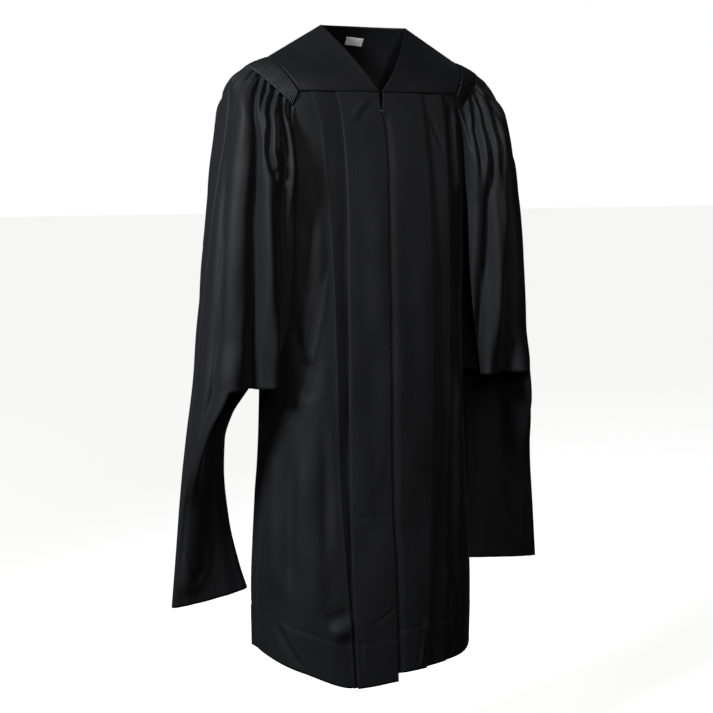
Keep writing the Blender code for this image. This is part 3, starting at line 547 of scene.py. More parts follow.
def pleatPath(side, z):
    pleats, depth = fronts["pleats"][side], fronts["depth"]
    edge, first, second = (readCurve(pleats, key, z) for key in ("edge", "first", "second"))
    layer, tuck, layerTwo = (readCurve(depth, key, z) for key in ("layer", "tuck", "layerTwo"))
    tuckTwo, rise = readCurve(depth, "tuckTwo", z), readCurve(depth, "rise", z)
    top = 2.0 * layer
    lap = 0.0
    if side > 0:
        lap = -(body["cloth"] + fronts["lapGap"]) * ease((fronts["lapFrom"] - z) / fronts["lapOver"])
    path = []

    def run(start, end, count):
        for i in range(count):
            t = i / count
            path.append((start[0] + (end[0] - start[0]) * t, start[1] + (end[1] - start[1]) * t))

    def fold(at, level, gap, reach):
        half = gap / 2.0
        for angle in fronts["arc"]:
            turn = math.radians(angle)
            path.append((at + half * math.cos(turn), level - half + half * math.sin(turn)))
        run((at - reach * 0.1, level - gap), (at - reach, level - gap), 3)
        for angle in fronts["arc"]:
            turn = math.radians(angle)
            path.append((at - reach - half * math.cos(turn), level - gap - half + half * math.sin(turn)))

    stepIn = edge + fronts["lapEdge"]
    if side > 0:
        stepIn = max(stepIn, fronts["lapClear"] - readCurve(fronts["pleats"][-1], "edge", z))
    stepOut = stepIn + fronts["lapStep"]
    run((edge, top + lap), (stepIn, top + lap), 5)
    run((stepIn, top + lap), (stepOut, top), 5)
    run((stepOut, top), (first, top), 14)
    fold(first, top, layer, tuck)
    middle = ((first + second) / 2.0 + 0.002, rise * 0.5 + layerTwo)
    run((first - tuck * 0.6, 0.0), (first + 0.004, 0.0), 3)
    run((first + 0.004, 0.0), middle, 4)
    level = rise + 2.0 * layerTwo
    run(middle, (second, level), 5)
    fold(second, level, layerTwo, tuckTwo)
    return path, second, rise


pathLength = len(pleatPath(1, -0.5)[0])
frontColumns = pathLength + fronts["sideSteps"] - 1
hemStore = {}


def frontHem(side, column):
    if (side, column) not in hemStore:
        level = body["hemLevel"]
        path, second, rise = pleatPath(side, level)
        if column < pathLength:
            point = bodyPoint(path[column][0], level)
        else:
            step = (column - pathLength + 1) / fronts["sideSteps"]
            start = bodyTurn(second, level)
            point = bodyPoint(bodyAcross(start + (math.pi / 2 - start) * step, level) * 0.9999, level)
        direction = math.degrees(math.atan2(abs(point.x), -point.y))
        hemStore[side, column] = readCurve(body["hem"], "left" if side > 0 else "right", direction, "turn")
    return hemStore[side, column]


# edges turned up and stitched: a little thicker below the row of stitches
edges = dict(
    hem=dict(depth=0.082, rise=0.0005, stitch=0.0009, wide=0.0022),
    mouth=dict(depth=0.012, rise=0.0005, stitch=0.0007, wide=0.0015),
    tip=dict(depth=0.020, rise=0.0004, stitch=0.0006, wide=0.0015),
)


def turnedEdge(name, above):
    edge = edges[name]
    rise = edge["rise"] * ease((edge["depth"] - above) / 0.002)
    return rise - edge["stitch"] * math.exp(-((above - edge["depth"]) / edge["wide"]) ** 2)


def frontPlace(side, column, row):
    topZ = yokes["frontZ"] - yokes["drop"]
    hemZ = frontHem(side, column)
    z = topZ + (hemZ - topZ) * row / fronts["rows"]
    path, second, rise = pleatPath(side, z)
    creases = fronts["creases"][side]
    low = ease((topZ - z) / fronts["crumpleFrom"])
    if column < pathLength:
        across, out = path[column]
        face = 1.0 if out > 0.0005 else fronts["tuckedCrease"]
        out += creaseHeight(creases, across, z) * face + turnedEdge("hem", z - hemZ)
        out += crumple((across * side, 0.3, z), crumples["size"], fronts["crumpled"]) * low * face
        point = bodyPoint(across, z, False, out)
        if row == 0 and out < 0.0010:
            point.z += fronts["underYoke"]
    else:
        step = (column - pathLength + 1) / fronts["sideSteps"]
        start = bodyTurn(second + 0.004, z)
        endX = armholeX(z, False)
        end = bodyTurn(endX, z)
        wave = fronts["sideWave"] * math.sin(math.pi * step * 2.0) * ease((-0.30 - z) / 0.30)
        across = min(bodyAcross(start + (end - start) * step, z), endX)
        out = (rise + wave) * (1.0 - step)
        flat = ease((1.0 - step) / 0.10)
        soft = crumple((across * side, 0.3, z), crumples["size"], fronts["sideCrumpled"]) * low
        out += (creaseHeight(creases, across, z) + soft) * flat
        out += turnedEdge("hem", z - hemZ)
        point = bodyPoint(across, z, False, out)
        if z <= body["underarm"] and step > 0.999:
            point = Vector((readCurve(body["sections"], "half", z), -0.0004, z))
    point.x *= side
    return point


for frontName, frontNode, frontSide in (("frontRight", "front_right", -1), ("frontLeft", "front_left", 1)):
    layCloth(
        frontName, frontNode, frontColumns, fronts["rows"], lambda c, r, s=frontSide: frontPlace(s, c, r),
        materials["gown"], body["shown"], flat=(0.40, 1.10), held="hung", restsOn=["yoke_" + frontNode],
    )


# back: gathered full under the yoke
backPanel = dict(
    folds=9, columns=180, rows=150, gather=0.0030, wave=0.0080, waves=4.0, out=0.003,
    edgeFade=0.18, wander=0.35, finer=0.35, finerTurns=2.35, crumpled=0.0030,
    creases=prepareCreases([
        press([(-0.15, -0.42), (-0.12, -0.56), (-0.06, -0.64)], 0.008, -0.004),
        press([(0.16, -0.5), (0.12, -0.62), (0.09, -0.7)], 0.009, -0.0044),
        press([(-0.1, -0.907), (0.0, -0.911), (0.1, -0.909)], 0.003, -0.0014),
        press([(-0.06, -0.18), (-0.052, -0.32), (-0.064, -0.52)], 0.006, -0.004),
        press([(0.03, -0.18), (0.024, -0.3), (0.034, -0.46)], 0.006, -0.004),
        press([(0.1, -0.18), (0.108, -0.36), (0.1, -0.6)], 0.007, -0.004),
        press([(-0.11, -1.02), (-0.08, -1.09), (-0.09, -1.18)], 0.009, 0.005),
        press([(0.06, -0.98), (0.04, -1.08), (0.052, -1.19)], 0.008, -0.004),
        press([(-0.19, -0.8), (-0.18, -0.95), (-0.17, -1.1)], 0.012, -0.005),
        press([(0.196, -0.7), (0.186, -0.9), (0.19, -1.06)], 0.011, -0.005),
    ]),
)


def backPlace(column, row):
    share = row / backPanel["rows"]
    acrossShare = column / backPanel["columns"] * 2.0 - 1.0
    topZ = yokes["backZ"] - yokes["drop"]
    hemKey = "left" if acrossShare > 0 else "right"
    hemZ = readCurve(body["hem"], hemKey, 180.0 - 90.0 * abs(acrossShare), "turn")
    z = topZ + (hemZ - topZ) * share
    endX = armholeX(z, True)
    across = min(bodyAcross(abs(acrossShare) * bodyTurn(endX, z), z), endX)
    edge = ease((1.0 - abs(acrossShare)) / backPanel["edgeFade"])
    wander = backPanel["wander"] * noise.noise(Vector((acrossShare * 3.0, z * 2.0, 4.0)))
    gather = math.cos(acrossShare * math.pi * backPanel["folds"]) + backPanel["finer"] * math.cos(
        acrossShare * math.pi * backPanel["folds"] * backPanel["finerTurns"] + 1.0 + wander
    ) * (1.0 - ease(share / 0.35))
    gather *= backPanel["gather"] * (1.0 - ease(share / 0.5) * 0.5)
    hang = math.cos(acrossShare * math.pi * backPanel["waves"] + wander) * ease(share / 0.8)
    signed = math.copysign(across, acrossShare)
    out = (gather + hang * backPanel["wave"] + backPanel["out"]) * edge
    soft = crumple((signed, 3.0, z), crumples["size"], backPanel["crumpled"])
    out += (creaseHeight(backPanel["creases"], signed, z) + soft) * edge
    point = bodyPoint(across, z, True, out + turnedEdge("hem", z - hemZ))
    if z <= body["underarm"] and abs(acrossShare) > 0.999:
        point = Vector((readCurve(body["sections"], "half", z), 0.0004, z))
    point.x *= math.copysign(1.0, acrossShare)
    return point


layCloth(
    "backGathered", "back", backPanel["columns"], backPanel["rows"], backPlace, materials["gown"],
    body["shown"], flat=(0.60, 1.06), held="hung", restsOn=["yoke_back"],
)


# yokes: stiffened, their edges turned and stitched
def yokeRelief(u, v, width, height):
    away = min(min(u, 1.0 - u) * width, min(v, 1.0 - v) * height)
    stitch = math.exp(-((away - yokes["stitchIn"]) / yokes["stitchWide"]) ** 2)
    return yokes["edgeRise"] * ease(away / yokes["edgeTurn"]) - yokes["stitchDeep"] * stitch


def liftPoint(place, u, v, rise):
    step = 0.004
    here = place(u, v)
    along = place(min(1.0, u + step), v) - place(max(0.0, u - step), v)
    down = place(u, min(1.0, v + step)) - place(u, max(0.0, v - step))
    normal = down.cross(along)
    if normal.length < 1e-9:
        return here
    return here + normal.normalized() * rise


def frontYokePlace(side, column, row):
    u, v = column / yokes["frontGrid"][0], row / yokes["frontGrid"][1]
    soft = crumple((u, side, v), crumples["stiffSize"], yokes["crumpled"][0])
    rise = yokeRelief(u, v, *yokes["frontSize"]) + soft * math.sin(math.pi * u) * ease(v / 0.3)
    point = liftPoint(frontYokePoint, u, v, -rise)
    point.x *= side
    return point


for yokeName, yokeNode, yokeSide in (
    ("yokeFrontRight", "yoke_front_right", -1), ("yokeFrontLeft", "yoke_front_left", 1)
):
    layCloth(
        yokeName, yokeNode, *yokes["frontGrid"], lambda c, r, s=yokeSide: frontYokePlace(s, c, r),
        materials["yoke"], yokes["wall"], flat=(0.20, 0.15), held="stretched", restsOn=["yoke_back"],
        area=0.0200,
    )


def backYokePlace(column, row):
    u, v = column / yokes["backGrid"][0], row / yokes["backGrid"][1]
    soft = crumple((u * 2, 5.0, v), crumples["stiffSize"], yokes["crumpled"][1])
    rise = yokeRelief(u, v, *yokes["backSize"]) + soft * math.sin(math.pi * u)
    return liftPoint(backYokePoint, u, v, rise * (1.0 if v > 0.02 else 0.0))


layCloth(
    "yokeBack", "yoke_back", *yokes["backGrid"], backYokePlace, materials["yoke"], yokes["wall"],
    flat=(0.42, 0.19), held="stretched", restsOn=["yoke_front_right", "yoke_front_left"], area=0.0620,
)


# fluted bands at the sleeve heads
band = dict(
    headTop=Vector((0.233, 0.0, -0.078)), frontZ=-0.150, backZ=-0.172, step=0.0034, drop=0.0012,
    ribs=66, steps=8, across=14, height=0.0011, uneven=0.35, sharpness=0.7, crown=0.0012,
    headOut=0.004, headBow=(1.55, 1.35), stepShare=(0.25, 0.45), threadRows=4.0, threadPull=0.35,
    edgeLow=0.35, edgeOver=0.12,
    middle=Vector((0.12, 0.0, -0.2)),      # inside the band, which tells its ribs which way is out
)


def headEdge(share):
    behind = share > 0.5
    part = abs(share * 2.0 - 1.0)
    endZ = band["backZ"] if behind else band["frontZ"]
    end = bodyPoint(armholeX(endZ, behind) + band["headOut"], endZ, behind)
    top = band["headTop"]
    acrossBow, downBow = band["headBow"]
    x = top.x + (end.x - top.x) * part ** acrossBow
    return Vector((x, end.y * math.sin(part * math.pi / 2.0), top.z + (endZ - top.z) * part ** downBow))


def bandInnerEdge(share):
    edge = yokeOuterEdge(abs(share * 2.0 - 1.0), share > 0.5)
    part = abs(share * 2.0 - 1.0)
    outward = Vector((edge.x, edge.y, 0.0)).normalized()
    least, more = band["stepShare"]
    return edge + outward * band["step"] * (least + more * part) - Vector((0.0, 0.0, band["drop"]))


def bandPlace(side, column, row):
    share = column / (band["ribs"] * band["steps"])
    part = row / band["across"]
    low, high = bandInnerEdge(share), headEdge(share)
    point = low.lerp(high, part)
    ahead = bandInnerEdge(min(1.0, share + 0.01)) - bandInnerEdge(max(0.0, share - 0.01))
    normal = (high - low).cross(ahead).normalized()
    if normal.dot(point - band["middle"]) < 0:
        normal.negate()
    turn = column / band["steps"] * math.pi * 2.0
    uneven = 1.0 + band["uneven"] * noise.noise(Vector((share * 40.0, part * 2.0, side)))
    rib = band["height"] * (0.5 + 0.5 * math.cos(turn)) ** band["sharpness"] * uneven
    # rows of gathering thread pull the ribs down across the band
    thread = (0.5 + 0.5 * math.cos(part * math.pi * 2.0 * band["threadRows"])) ** 4
    edgeFade = band["edgeLow"] + (1.0 - band["edgeLow"]) * ease(min(part, 1.0 - part) / band["edgeOver"])
    crown = band["crown"] * math.sin(math.pi * part)
    point += normal * (rib * (1.0 - band["threadPull"] * thread) * edgeFade + crown)
    point.x *= side
    return point


for bandName, bandNode, bandSide in (
    ("flutingRight", "fluting_right", -1), ("flutingLeft", "fluting_left", 1)
):
    layCloth(
        bandName, bandNode, band["ribs"] * band["steps"], band["across"],
        lambda c, r, s=bandSide: bandPlace(s, c, r), materials["band"], body["shown"],
        flat=(0.42, 0.045), held="gathered", restsOn=["yoke_back"], area=0.0100,
    )


# sleeves: a front and a back layer, slit at the mouth
sleeve = dict(
    plan=table(
        "z xIn yIn xOut yOut front back lean",
        (-0.078, 0.199, 0.000, 0.253, 0.000, 0.060, 0.060, 0.000),
        (-0.095, 0.199, 0.000, 0.264, 0.000, 0.070, 0.070, 0.000),
        (-0.120, 0.199, 0.000, 0.265, 0.003, 0.080, 0.078, 0.000),
        (-0.150, 0.199, 0.000, 0.268, -0.002, 0.092, 0.084, 0.010),
        (-0.200, 0.199, 0.000, 0.276, -0.007, 0.106, 0.086, 0.030),
        (-0.280, 0.200, 0.000, 0.292, -0.010, 0.116, 0.084, 0.038),
        (-0.360, 0.204, 0.000, 0.306, -0.012, 0.114, 0.078, 0.040),
        (-0.500, 0.208, 0.010, 0.323, -0.009, 0.114, 0.066, 0.042),
        (-0.655, 0.215, 0.024, 0.341, -0.004, 0.112, 0.044, 0.042),
        (-0.830, 0.217, 0.028, 0.368, -0.006, 0.016, 0.022, 0.000),
        (-1.066, 0.217, 0.028, 0.391, -0.002, 0.012, 0.013, 0.000),
    ),
    arc=table(
        "z x y",
        (-0.655, 0.215, 0.024),
        (-0.680, 0.228, 0.036),
        (-0.720, 0.249, 0.045),
        (-0.768, 0.260, 0.052),
        (-0.825, 0.261, 0.055),
        (-0.924, 0.254, 0.052),
        (-1.007, 0.240, 0.044),
        (-1.060, 0.228, 0.034),
    ),
    mouthZ=-0.655, mouthEnd=0.70, mouthStep=0.0024, mouthStepFrom=0.60, mouthStepOver=0.12, pouch=0.016,
    lip=0.004, lipOver=0.20, lipDown=0.03, headCrowd=1.5, headOver=0.10,
    fall=0.15, fallOutside=0.12, fallPower=0.55,       # how soon the head's cloth falls to its form
    hangOver=0.12, hangFlat=0.6, hangCrease=0.35,
    tipZ={-1: -1.056, 1: -1.050}, heelZ={-1: -1.066, 1: -1.056},
    lowShare=0.30, joinZ=-0.400, gathers={-1: 10.0, 1: 6.667}, ridge=0.0075, valley=-0.0038, puff=0.012,
    frontGather=0.12,          # of the gathers' height: those in front are laid one by one, below
    puckers=24.0, pucker=0.0017, puckerDown=0.16, gatherLeft=0.15,
    leanFrom=0.062, leanOver=0.030, leanShare=0.75, outerFlat=0.30, arcReach={-1: 1.15, 1: 0.82},
    keptFrom=0.52, keptOver=0.20, keptDown=0.24, bulge=0.62, foldTop=-0.120,
    seamOut=0.0012, layerGap=0.0005, inward=-0.6, sideFade=6.0, crumpled=0.0032, drift=0.012,
    headRows=64, tubeRows=52, hangRows=84, frontColumns=130, backColumns=96,
    # place across at the head and low down, width and height
    frontFolds=table(
        "place low width height",
        (0.360, 0.220, 0.045, 0.005),
        (0.520, 0.310, 0.045, -0.012),
        (0.680, 0.400, 0.055, 0.012),
        (0.725, 0.572, 0.050, -0.028),
        (0.890, 0.700, 0.070, 0.008),
        (0.980, 0.812, 0.042, -0.022),
    ),
    backFolds=table(
        "place low width height",
        (0.300, 0.300, 0.060, -0.010),
        (0.450, 0.450, 0.070, 0.008),
        (0.600, 0.600, 0.050, -0.010),
        (0.750, 0.750, 0.070, 0.006),
    ),
    reach=0.25,                # metres across a layer, for the creases' places
    # place across the layer, from the body's side to the outer edge, and height
    creases={
        (-1, -1): [
            press([(0.325, -0.14), (0.32, -0.165), (0.33, -0.2)], 0.0045, -0.005, start=0.8),
            press([(0.37, -0.13), (0.375, -0.15), (0.365, -0.18)], 0.004, -0.0045, start=0.8),
            press([(0.44, -0.118), (0.43, -0.165), (0.425, -0.215), (0.42, -0.3), (0.4, -0.44)],
                  0.0065, -0.01, fade=0.55, start=0.8),
            press([(0.545, -0.106), (0.52, -0.13), (0.575, -0.165), (0.6, -0.23), (0.565, -0.264),
                   (0.500, -0.280)], 0.0055, -0.0120, fade=0.10, start=0.8),
            press([(0.49, -0.13), (0.5, -0.19), (0.515, -0.245)], 0.009, 0.006),
            press([(0.58, -0.104), (0.565, -0.125)], 0.0045, -0.006, fade=0.5, start=0.9),
            press([(0.66, -0.098), (0.62, -0.125), (0.65, -0.165), (0.64, -0.21)],
                  0.005, -0.0085, start=0.8),
            press([(0.75, -0.093), (0.72, -0.11), (0.7, -0.15), (0.695, -0.24), (0.67, -0.36)],
                  0.007, -0.011, start=0.8),
            press([(0.84, -0.086), (0.862, -0.098), (0.858, -0.112)],
                  0.0055, -0.0085, fade=0.35, start=0.9),
            press([(0.8, -0.1), (0.79, -0.15), (0.8, -0.26)], 0.012, 0.0045),
            press([(0.945, -0.085), (0.985, -0.12), (0.985, -0.19), (0.95, -0.3), (0.9, -0.44)],
                  0.005, -0.0075, start=0.8),
            press([(0.74, -0.56), (0.67, -0.75), (0.62, -0.86), (0.69, -0.98), (0.78, -1.05)],
                  0.03, 0.011, fade=0.1),
            press([(0.5, -0.93), (0.58, -1.0), (0.7, -1.03)], 0.009, -0.004),
            press([(0.8, -0.96), (0.7, -1.0), (0.62, -1.05)], 0.007, 0.003),
            press([(0.6, -0.7), (0.52, -0.8), (0.55, -0.9)], 0.012, -0.004),
            press([(0.4, -0.42), (0.42, -0.52), (0.4, -0.64)], 0.008, 0.003),
            press([(0.64, -0.4), (0.66, -0.54), (0.62, -0.65)], 0.008, 0.0034),
            press([(0.88, -0.33), (0.91, -0.5), (0.88, -0.66)], 0.008, -0.0034),
        ],
        (1, -1): [
            press([(0.34, -0.135), (0.33, -0.18), (0.32, -0.24)], 0.0055, -0.005, start=0.8),
            press([(0.52, -0.112), (0.45, -0.15), (0.385, -0.19), (0.365, -0.3)],
                  0.007, -0.0085, start=0.8),
            press([(0.6, -0.104), (0.55, -0.14), (0.5, -0.18), (0.47, -0.26), (0.46, -0.34)],
                  0.007, -0.008, start=0.8),
            press([(0.88, -0.088), (0.78, -0.105), (0.66, -0.14), (0.59, -0.19), (0.575, -0.32)],
                  0.0075, -0.0095, start=0.8),
            press([(0.72, -0.098), (0.7, -0.15), (0.69, -0.23), (0.7, -0.33)],
                  0.0065, -0.0075, start=0.8),
            press([(0.82, -0.095), (0.84, -0.15), (0.83, -0.26)], 0.0065, -0.0065, start=0.8),
            press([(0.945, -0.085), (0.95, -0.14), (0.92, -0.24)], 0.006, -0.006, start=0.8),
            press([(0.48, -0.25), (0.48, -0.42), (0.47, -0.64)], 0.009, 0.005),
            press([(0.74, -0.56), (0.68, -0.76), (0.66, -0.88), (0.7, -1.0), (0.76, -1.045)],
                  0.028, 0.007, fade=0.1),
            press([(0.5, -0.88), (0.56, -0.96), (0.68, -1.02)], 0.009, -0.0036),
            press([(0.38, -0.42), (0.4, -0.54), (0.37, -0.64)], 0.008, 0.003),
            press([(0.88, -0.36), (0.9, -0.52), (0.87, -0.7)], 0.008, -0.0034),
        ],
        (-1, 1): [
            press([(0.35, -0.14), (0.36, -0.24), (0.33, -0.4)], 0.007, -0.004),
            press([(0.55, -0.12), (0.53, -0.24), (0.56, -0.42)], 0.007, -0.0044),
            press([(0.72, -0.11), (0.74, -0.2), (0.71, -0.36)], 0.007, -0.004),
            press([(0.4, -0.56), (0.5, -0.68), (0.46, -0.8)], 0.012, -0.005),
            press([(0.66, -0.52), (0.6, -0.7), (0.68, -0.9)], 0.016, 0.006),
            press([(0.4, -0.94), (0.52, -0.99), (0.6, -1.05)], 0.009, -0.0036),
        ],
        (1, 1): [
            press([(0.38, -0.14), (0.36, -0.25), (0.4, -0.39)], 0.007, -0.004),
            press([(0.52, -0.12), (0.54, -0.26), (0.5, -0.44)], 0.007, -0.0044),
            press([(0.7, -0.11), (0.69, -0.21), (0.73, -0.35)], 0.007, -0.004),
            press([(0.45, -0.58), (0.42, -0.7), (0.5, -0.82)], 0.012, -0.005),
            press([(0.64, -0.54), (0.66, -0.72), (0.62, -0.88)], 0.016, 0.006),
            press([(0.46, -0.9), (0.54, -0.98), (0.66, -1.03)], 0.009, -0.0036),
        ],
    },
)
for creaseList in sleeve["creases"].values():
    prepareCreases(creaseList, sleeve["reach"])


def armholeLow(part, behind):
    endZ = band["backZ"] if behind else band["frontZ"]
    z = body["underarm"] + (endZ - body["underarm"]) * part
    return bodyPoint(armholeX(z, behind), z, behind, sleeve["seamOut"])


def armholePoint(share, behind):
    lowShare = sleeve["lowShare"]
    if share <= lowShare:
        return armholeLow(share / lowShare, behind)
    part = (1.0 - share) / (1.0 - lowShare)
    start = headEdge(0.5 + 0.5 * part if behind else 0.5 - 0.5 * part)
    start += Vector((start.x - 0.10, start.y * 0.9, 0.04)).normalized() * sleeve["seamOut"]
    return armholeLow(1.0, behind).lerp(start, ease((share - lowShare) / 0.05))


def layerPoint(share, z, side, layer):
    below = z < sleeve["mouthZ"]
    plan, arc = sleeve["plan"], sleeve["arc"]
    xIn = readCurve(plan, "xIn", max(z, sleeve["mouthZ"]))
    if below:
        xIn += (readCurve(arc, "x", z) - xIn) * sleeve["arcReach"][side]
    yIn = readCurve(arc, "y", z) if below else readCurve(plan, "yIn", z)
    xOut, yOut = readCurve(plan, "xOut", z), readCurve(plan, "yOut", z)
    part = 0.5 - 0.5 * math.cos(math.pi * share)
    bulge = math.sin(math.pi * share)
    depth = readCurve(plan, "front" if layer < 0 else "back", z)
    kept = 1.0
    if below and layer < 0:
        pouch = sleeve["pouch"]
        kept = ease((share - sleeve["keptFrom"]) / sleeve["keptOver"])
        kept *= 1.0 - ease((sleeve["mouthZ"] - z) / sleeve["keptDown"])
        depth = pouch + (readCurve(plan, "front", sleeve["mouthZ"]) - pouch) * kept
    if layer < 0:
        depth *= 1.0 - sleeve["outerFlat"] * share ** 3
    stand = depth * max(0.0, bulge) ** sleeve["bulge"] + sleeve["layerGap"]
    y = yIn + (yOut - yIn) * part + layer * stand
    x = xIn + (xOut - xIn) * part
    if layer < 0:
        ahead = ease((-y - sleeve["leanFrom"]) / sleeve["leanOver"])
        lean = readCurve(plan, "lean", max(z, sleeve["mouthZ"]))
        x -= lean * ahead * ease((1.0 - share) / sleeve["leanShare"]) * kept
    return Vector((x, y, z))


def sleevePlace(side, layer, columns, column, row):
    share = column / columns
    behind = layer > 0
    headRows, tubeRows = sleeve["headRows"], sleeve["tubeRows"]
    outward = Vector((sleeve["inward"] * math.cos(math.pi * share), layer * math.sin(math.pi * share), 0.0))
    edge = min(1.0, sleeve["sideFade"] * share, sleeve["sideFade"] * (1.0 - share))
    wander = noise.noise(Vector((share * 6.0, row * 0.02, side * 3.0 + layer)))
    depth, kept, lipRelief = 1.0, 1.0, 0.0
    if row <= headRows:
        down = (row / headRows) ** sleeve["headCrowd"]
        start = armholePoint(share, behind)
        start.y += layer * sleeve["layerGap"]
        z = start.z + (sleeve["joinZ"] - start.z) * down
        target = layerPoint(share, z, side, layer)
        over = sleeve["fall"] - sleeve["fallOutside"] * share ** 2
        fall = max(ease((start.z - z) / over) ** sleeve["fallPower"], down ** 2)
        point = start.lerp(target, fall)
        point.z = z
        head = ease((share - sleeve["lowShare"] + sleeve["headOver"]) / sleeve["headOver"])
        turn = (share * sleeve["gathers"][layer] - 1.0 / 3.0) * math.pi * 2.0 + wander * 1.2 * down
        wide = (0.5 + 0.5 * math.cos(turn)) ** 1.5
        gather = sleeve["valley"] + (sleeve["ridge"] - sleeve["valley"]) * wide
        gather *= 1.0 if behind else sleeve["frontGather"]
        gather *= head * ease(down * 5.0) * (1.0 - (1.0 - sleeve["gatherLeft"]) * down)
        # finer gathers between, only near the seam
        small = sleeve["pucker"] * math.cos(share * sleeve["puckers"] * math.pi * 2.0 + wander * 3.0)
        gather += small * head * (1.0 - ease(down / sleeve["puckerDown"])) * (0.3 + 0.7 * ease(down * 16.0))
        puff = sleeve["puff"] * math.sin(math.pi * min(1.0, down * 1.4)) * head * edge
        point += outward * (gather * edge + puff * 0.5)
        point.z += puff * 0.8 * (1.0 - down)
        depth = ease(down * 1.2)
    elif row <= headRows + tubeRows:
        down = (row - headRows) / tubeRows
        z = sleeve["joinZ"] + (sleeve["mouthZ"] - sleeve["joinZ"]) * down
        point = layerPoint(share, z, side, layer)
        if not behind and share < sleeve["mouthEnd"]:
            lipRelief = turnedEdge("mouth", z - sleeve["mouthZ"])
    else:
        down = (row - headRows - tubeRows - 1) / sleeve["hangRows"]
        part = 0.5 - 0.5 * math.cos(math.pi * share)
        bottom = sleeve["tipZ"][side] + (sleeve["heelZ"][side] - sleeve["tipZ"][side]) * part
        step = sleeve["mouthStep"] * ease((share - sleeve["mouthStepFrom"]) / sleeve["mouthStepOver"])
        top = sleeve["mouthZ"] - 0.0001 - step
        z = top + (bottom - top) * down
        point = layerPoint(share, z, side, layer)
        if share < sleeve["mouthEnd"] and not behind:
            lip = sleeve["lip"] * ease(share / sleeve["lipOver"])
            point.z += lip * (1.0 - ease(down / sleeve["lipDown"]))
        hang = ease((sleeve["mouthZ"] - z) / sleeve["hangOver"])
        depth = (1.0 - hang) * (1.0 if behind else ease((share - 0.55) / 0.1))
        outward *= 1.0 - sleeve["hangFlat"] * hang
        lipRelief = turnedEdge("tip", z - bottom)
        kept = 1.0 - sleeve["hangCrease"] * hang
    lower = min(1.0, max(0.0, (sleeve["foldTop"] - point.z) / (sleeve["foldTop"] - sleeve["mouthZ"])))
    for fold in (sleeve["backFolds"] if behind else sleeve["frontFolds"]):
        place = fold["place"] + (fold["low"] - fold["place"]) * lower
        drift = (share + wander * sleeve["drift"] - place) / fold["width"]
        point += outward * fold["height"] * math.exp(-drift * drift) * depth * edge
    extra = creaseHeight(sleeve["creases"][side, layer], share * sleeve["reach"], point.z) * kept
    soft = crumple((share * 0.5, side + layer * 2.0, point.z), crumples["size"], sleeve["crumpled"])
    extra += soft * ease(depth + 0.5)
    point += outward.normalized() * (extra * edge) + outward * (lipRelief * edge)
    point.x *= side
    return point


def sewSleeve(name, node, side, layer):
    columns = sleeve["frontColumns"] if layer < 0 else sleeve["backColumns"]
    rows = sleeve["headRows"] + sleeve["tubeRows"] + 1 + sleeve["hangRows"]
    mouthRow = sleeve["headRows"] + sleeve["tubeRows"]
    drop = None
    if layer < 0:
        def drop(column, row):
            return column < columns * sleeve["mouthEnd"] and mouthRow < row < mouthRow + 1
    layCloth(
        name, node, columns, rows, lambda c, r: sleevePlace(side, layer, columns, c, r), materials["gown"],
        body["shown"], flat=(0.34, 1.02), held="hung", area=0.245,
        restsOn=["fluting_right" if side < 0 else "fluting_left"], drop=drop,
    )


for armName, armSide in (("right", -1), ("left", 1)):
    for layerName, layerHand in (("front", -1), ("back", 1)):
        sleeveName = f"sleeve{armName.title()}{layerName.title()}"
        sewSleeve(sleeveName, f"sleeve_{armName}_{layerName}", armSide, layerHand)


# neck label, left bare
label = dict(
    size=(0.037, 0.0128), x=0.010, z=-0.0225, clear=0.0009, wall=0.0005, tilt=-0.06, bow=0.0006,
    grid=(20, 10),
)


def labelPlace(column, row):
    u, v = column / label["grid"][0], row / label["grid"][1]
    across = (u - 0.5) * label["size"][0] + label["x"]
    up = (v - 0.5) * label["size"][1] + label["tilt"] * (across - label["x"])
    middle = backYokePoint(0.5, 0.0)
    span = backYokePoint(0.55, 0.0).x / 0.05
    fall = (backYokePoint(0.5, 0.2).z - middle.z) / 0.2
    point = backYokePoint(0.5 + across / span, (label["z"] + up - middle.z) / fall)
    point.y -= yokes["wall"] / 2 + label["wall"] / 2 + label["clear"]
    point.y -= label["bow"] * math.sin(math.pi * u) * math.sin(math.pi * v)
    return point


layCloth(
    "neckLabel", "neck_label", *label["grid"], labelPlace, materials["label"], label["wall"],
    flat=(0.037, 0.0145), held="stretched", restsOn=["yoke_back"],
)


# zip: tapes, coil, slider and pull tab
zipper = dict(
    length=0.500, x=0.0005, topZ=-0.1275, tapeWidth=0.0120, tapeWall=0.0008, chainWidth=0.0040,
    behind=0.0046, underLap=0.0026, lapFrom=-0.16, lapOver=0.06, tapeGap=0.0003, tapeGrid=(8, 120),
    sliderZ=-0.1335, sliderHeight=0.0090, sliderGap=0.0006,
    pitch=0.0020, loop=(0.0026, 0.0012, 0.0007), loopApart=0.0007, loopStagger=0.0004, loopBevel=0.00018,
)


def zipLine(x, z):
    under = zipper["underLap"] * ease((zipper["lapFrom"] - z) / zipper["lapOver"])
    return bodyPoint(x, z, False, 2.0 * readCurve(fronts["depth"], "layer", z) - zipper["behind"] - under)


for tapeName, tapeNode, tapeSide in (
    ("zipTapeRight", "zip_tape_right", -1), ("zipTapeLeft", "zip_tape_left", 1)
):
    tapeNear = zipper["x"] + tapeSide * (zipper["chainWidth"] / 2 + zipper["tapeGap"])

    def tapePlace(column, row, near=tapeNear, hand=tapeSide):
        columns, rows = zipper["tapeGrid"]
        z = zipper["topZ"] - zipper["length"] * row / rows
        return zipLine(near + hand * zipper["tapeWidth"] * column / columns, z)

    layCloth(
        tapeName, tapeNode, *zipper["tapeGrid"], tapePlace, materials["band"], zipper["tapeWall"],
        flat=(0.0125, 0.500), held="hung", restsOn=[tapeNode.replace("zip_tape", "front")],
    )


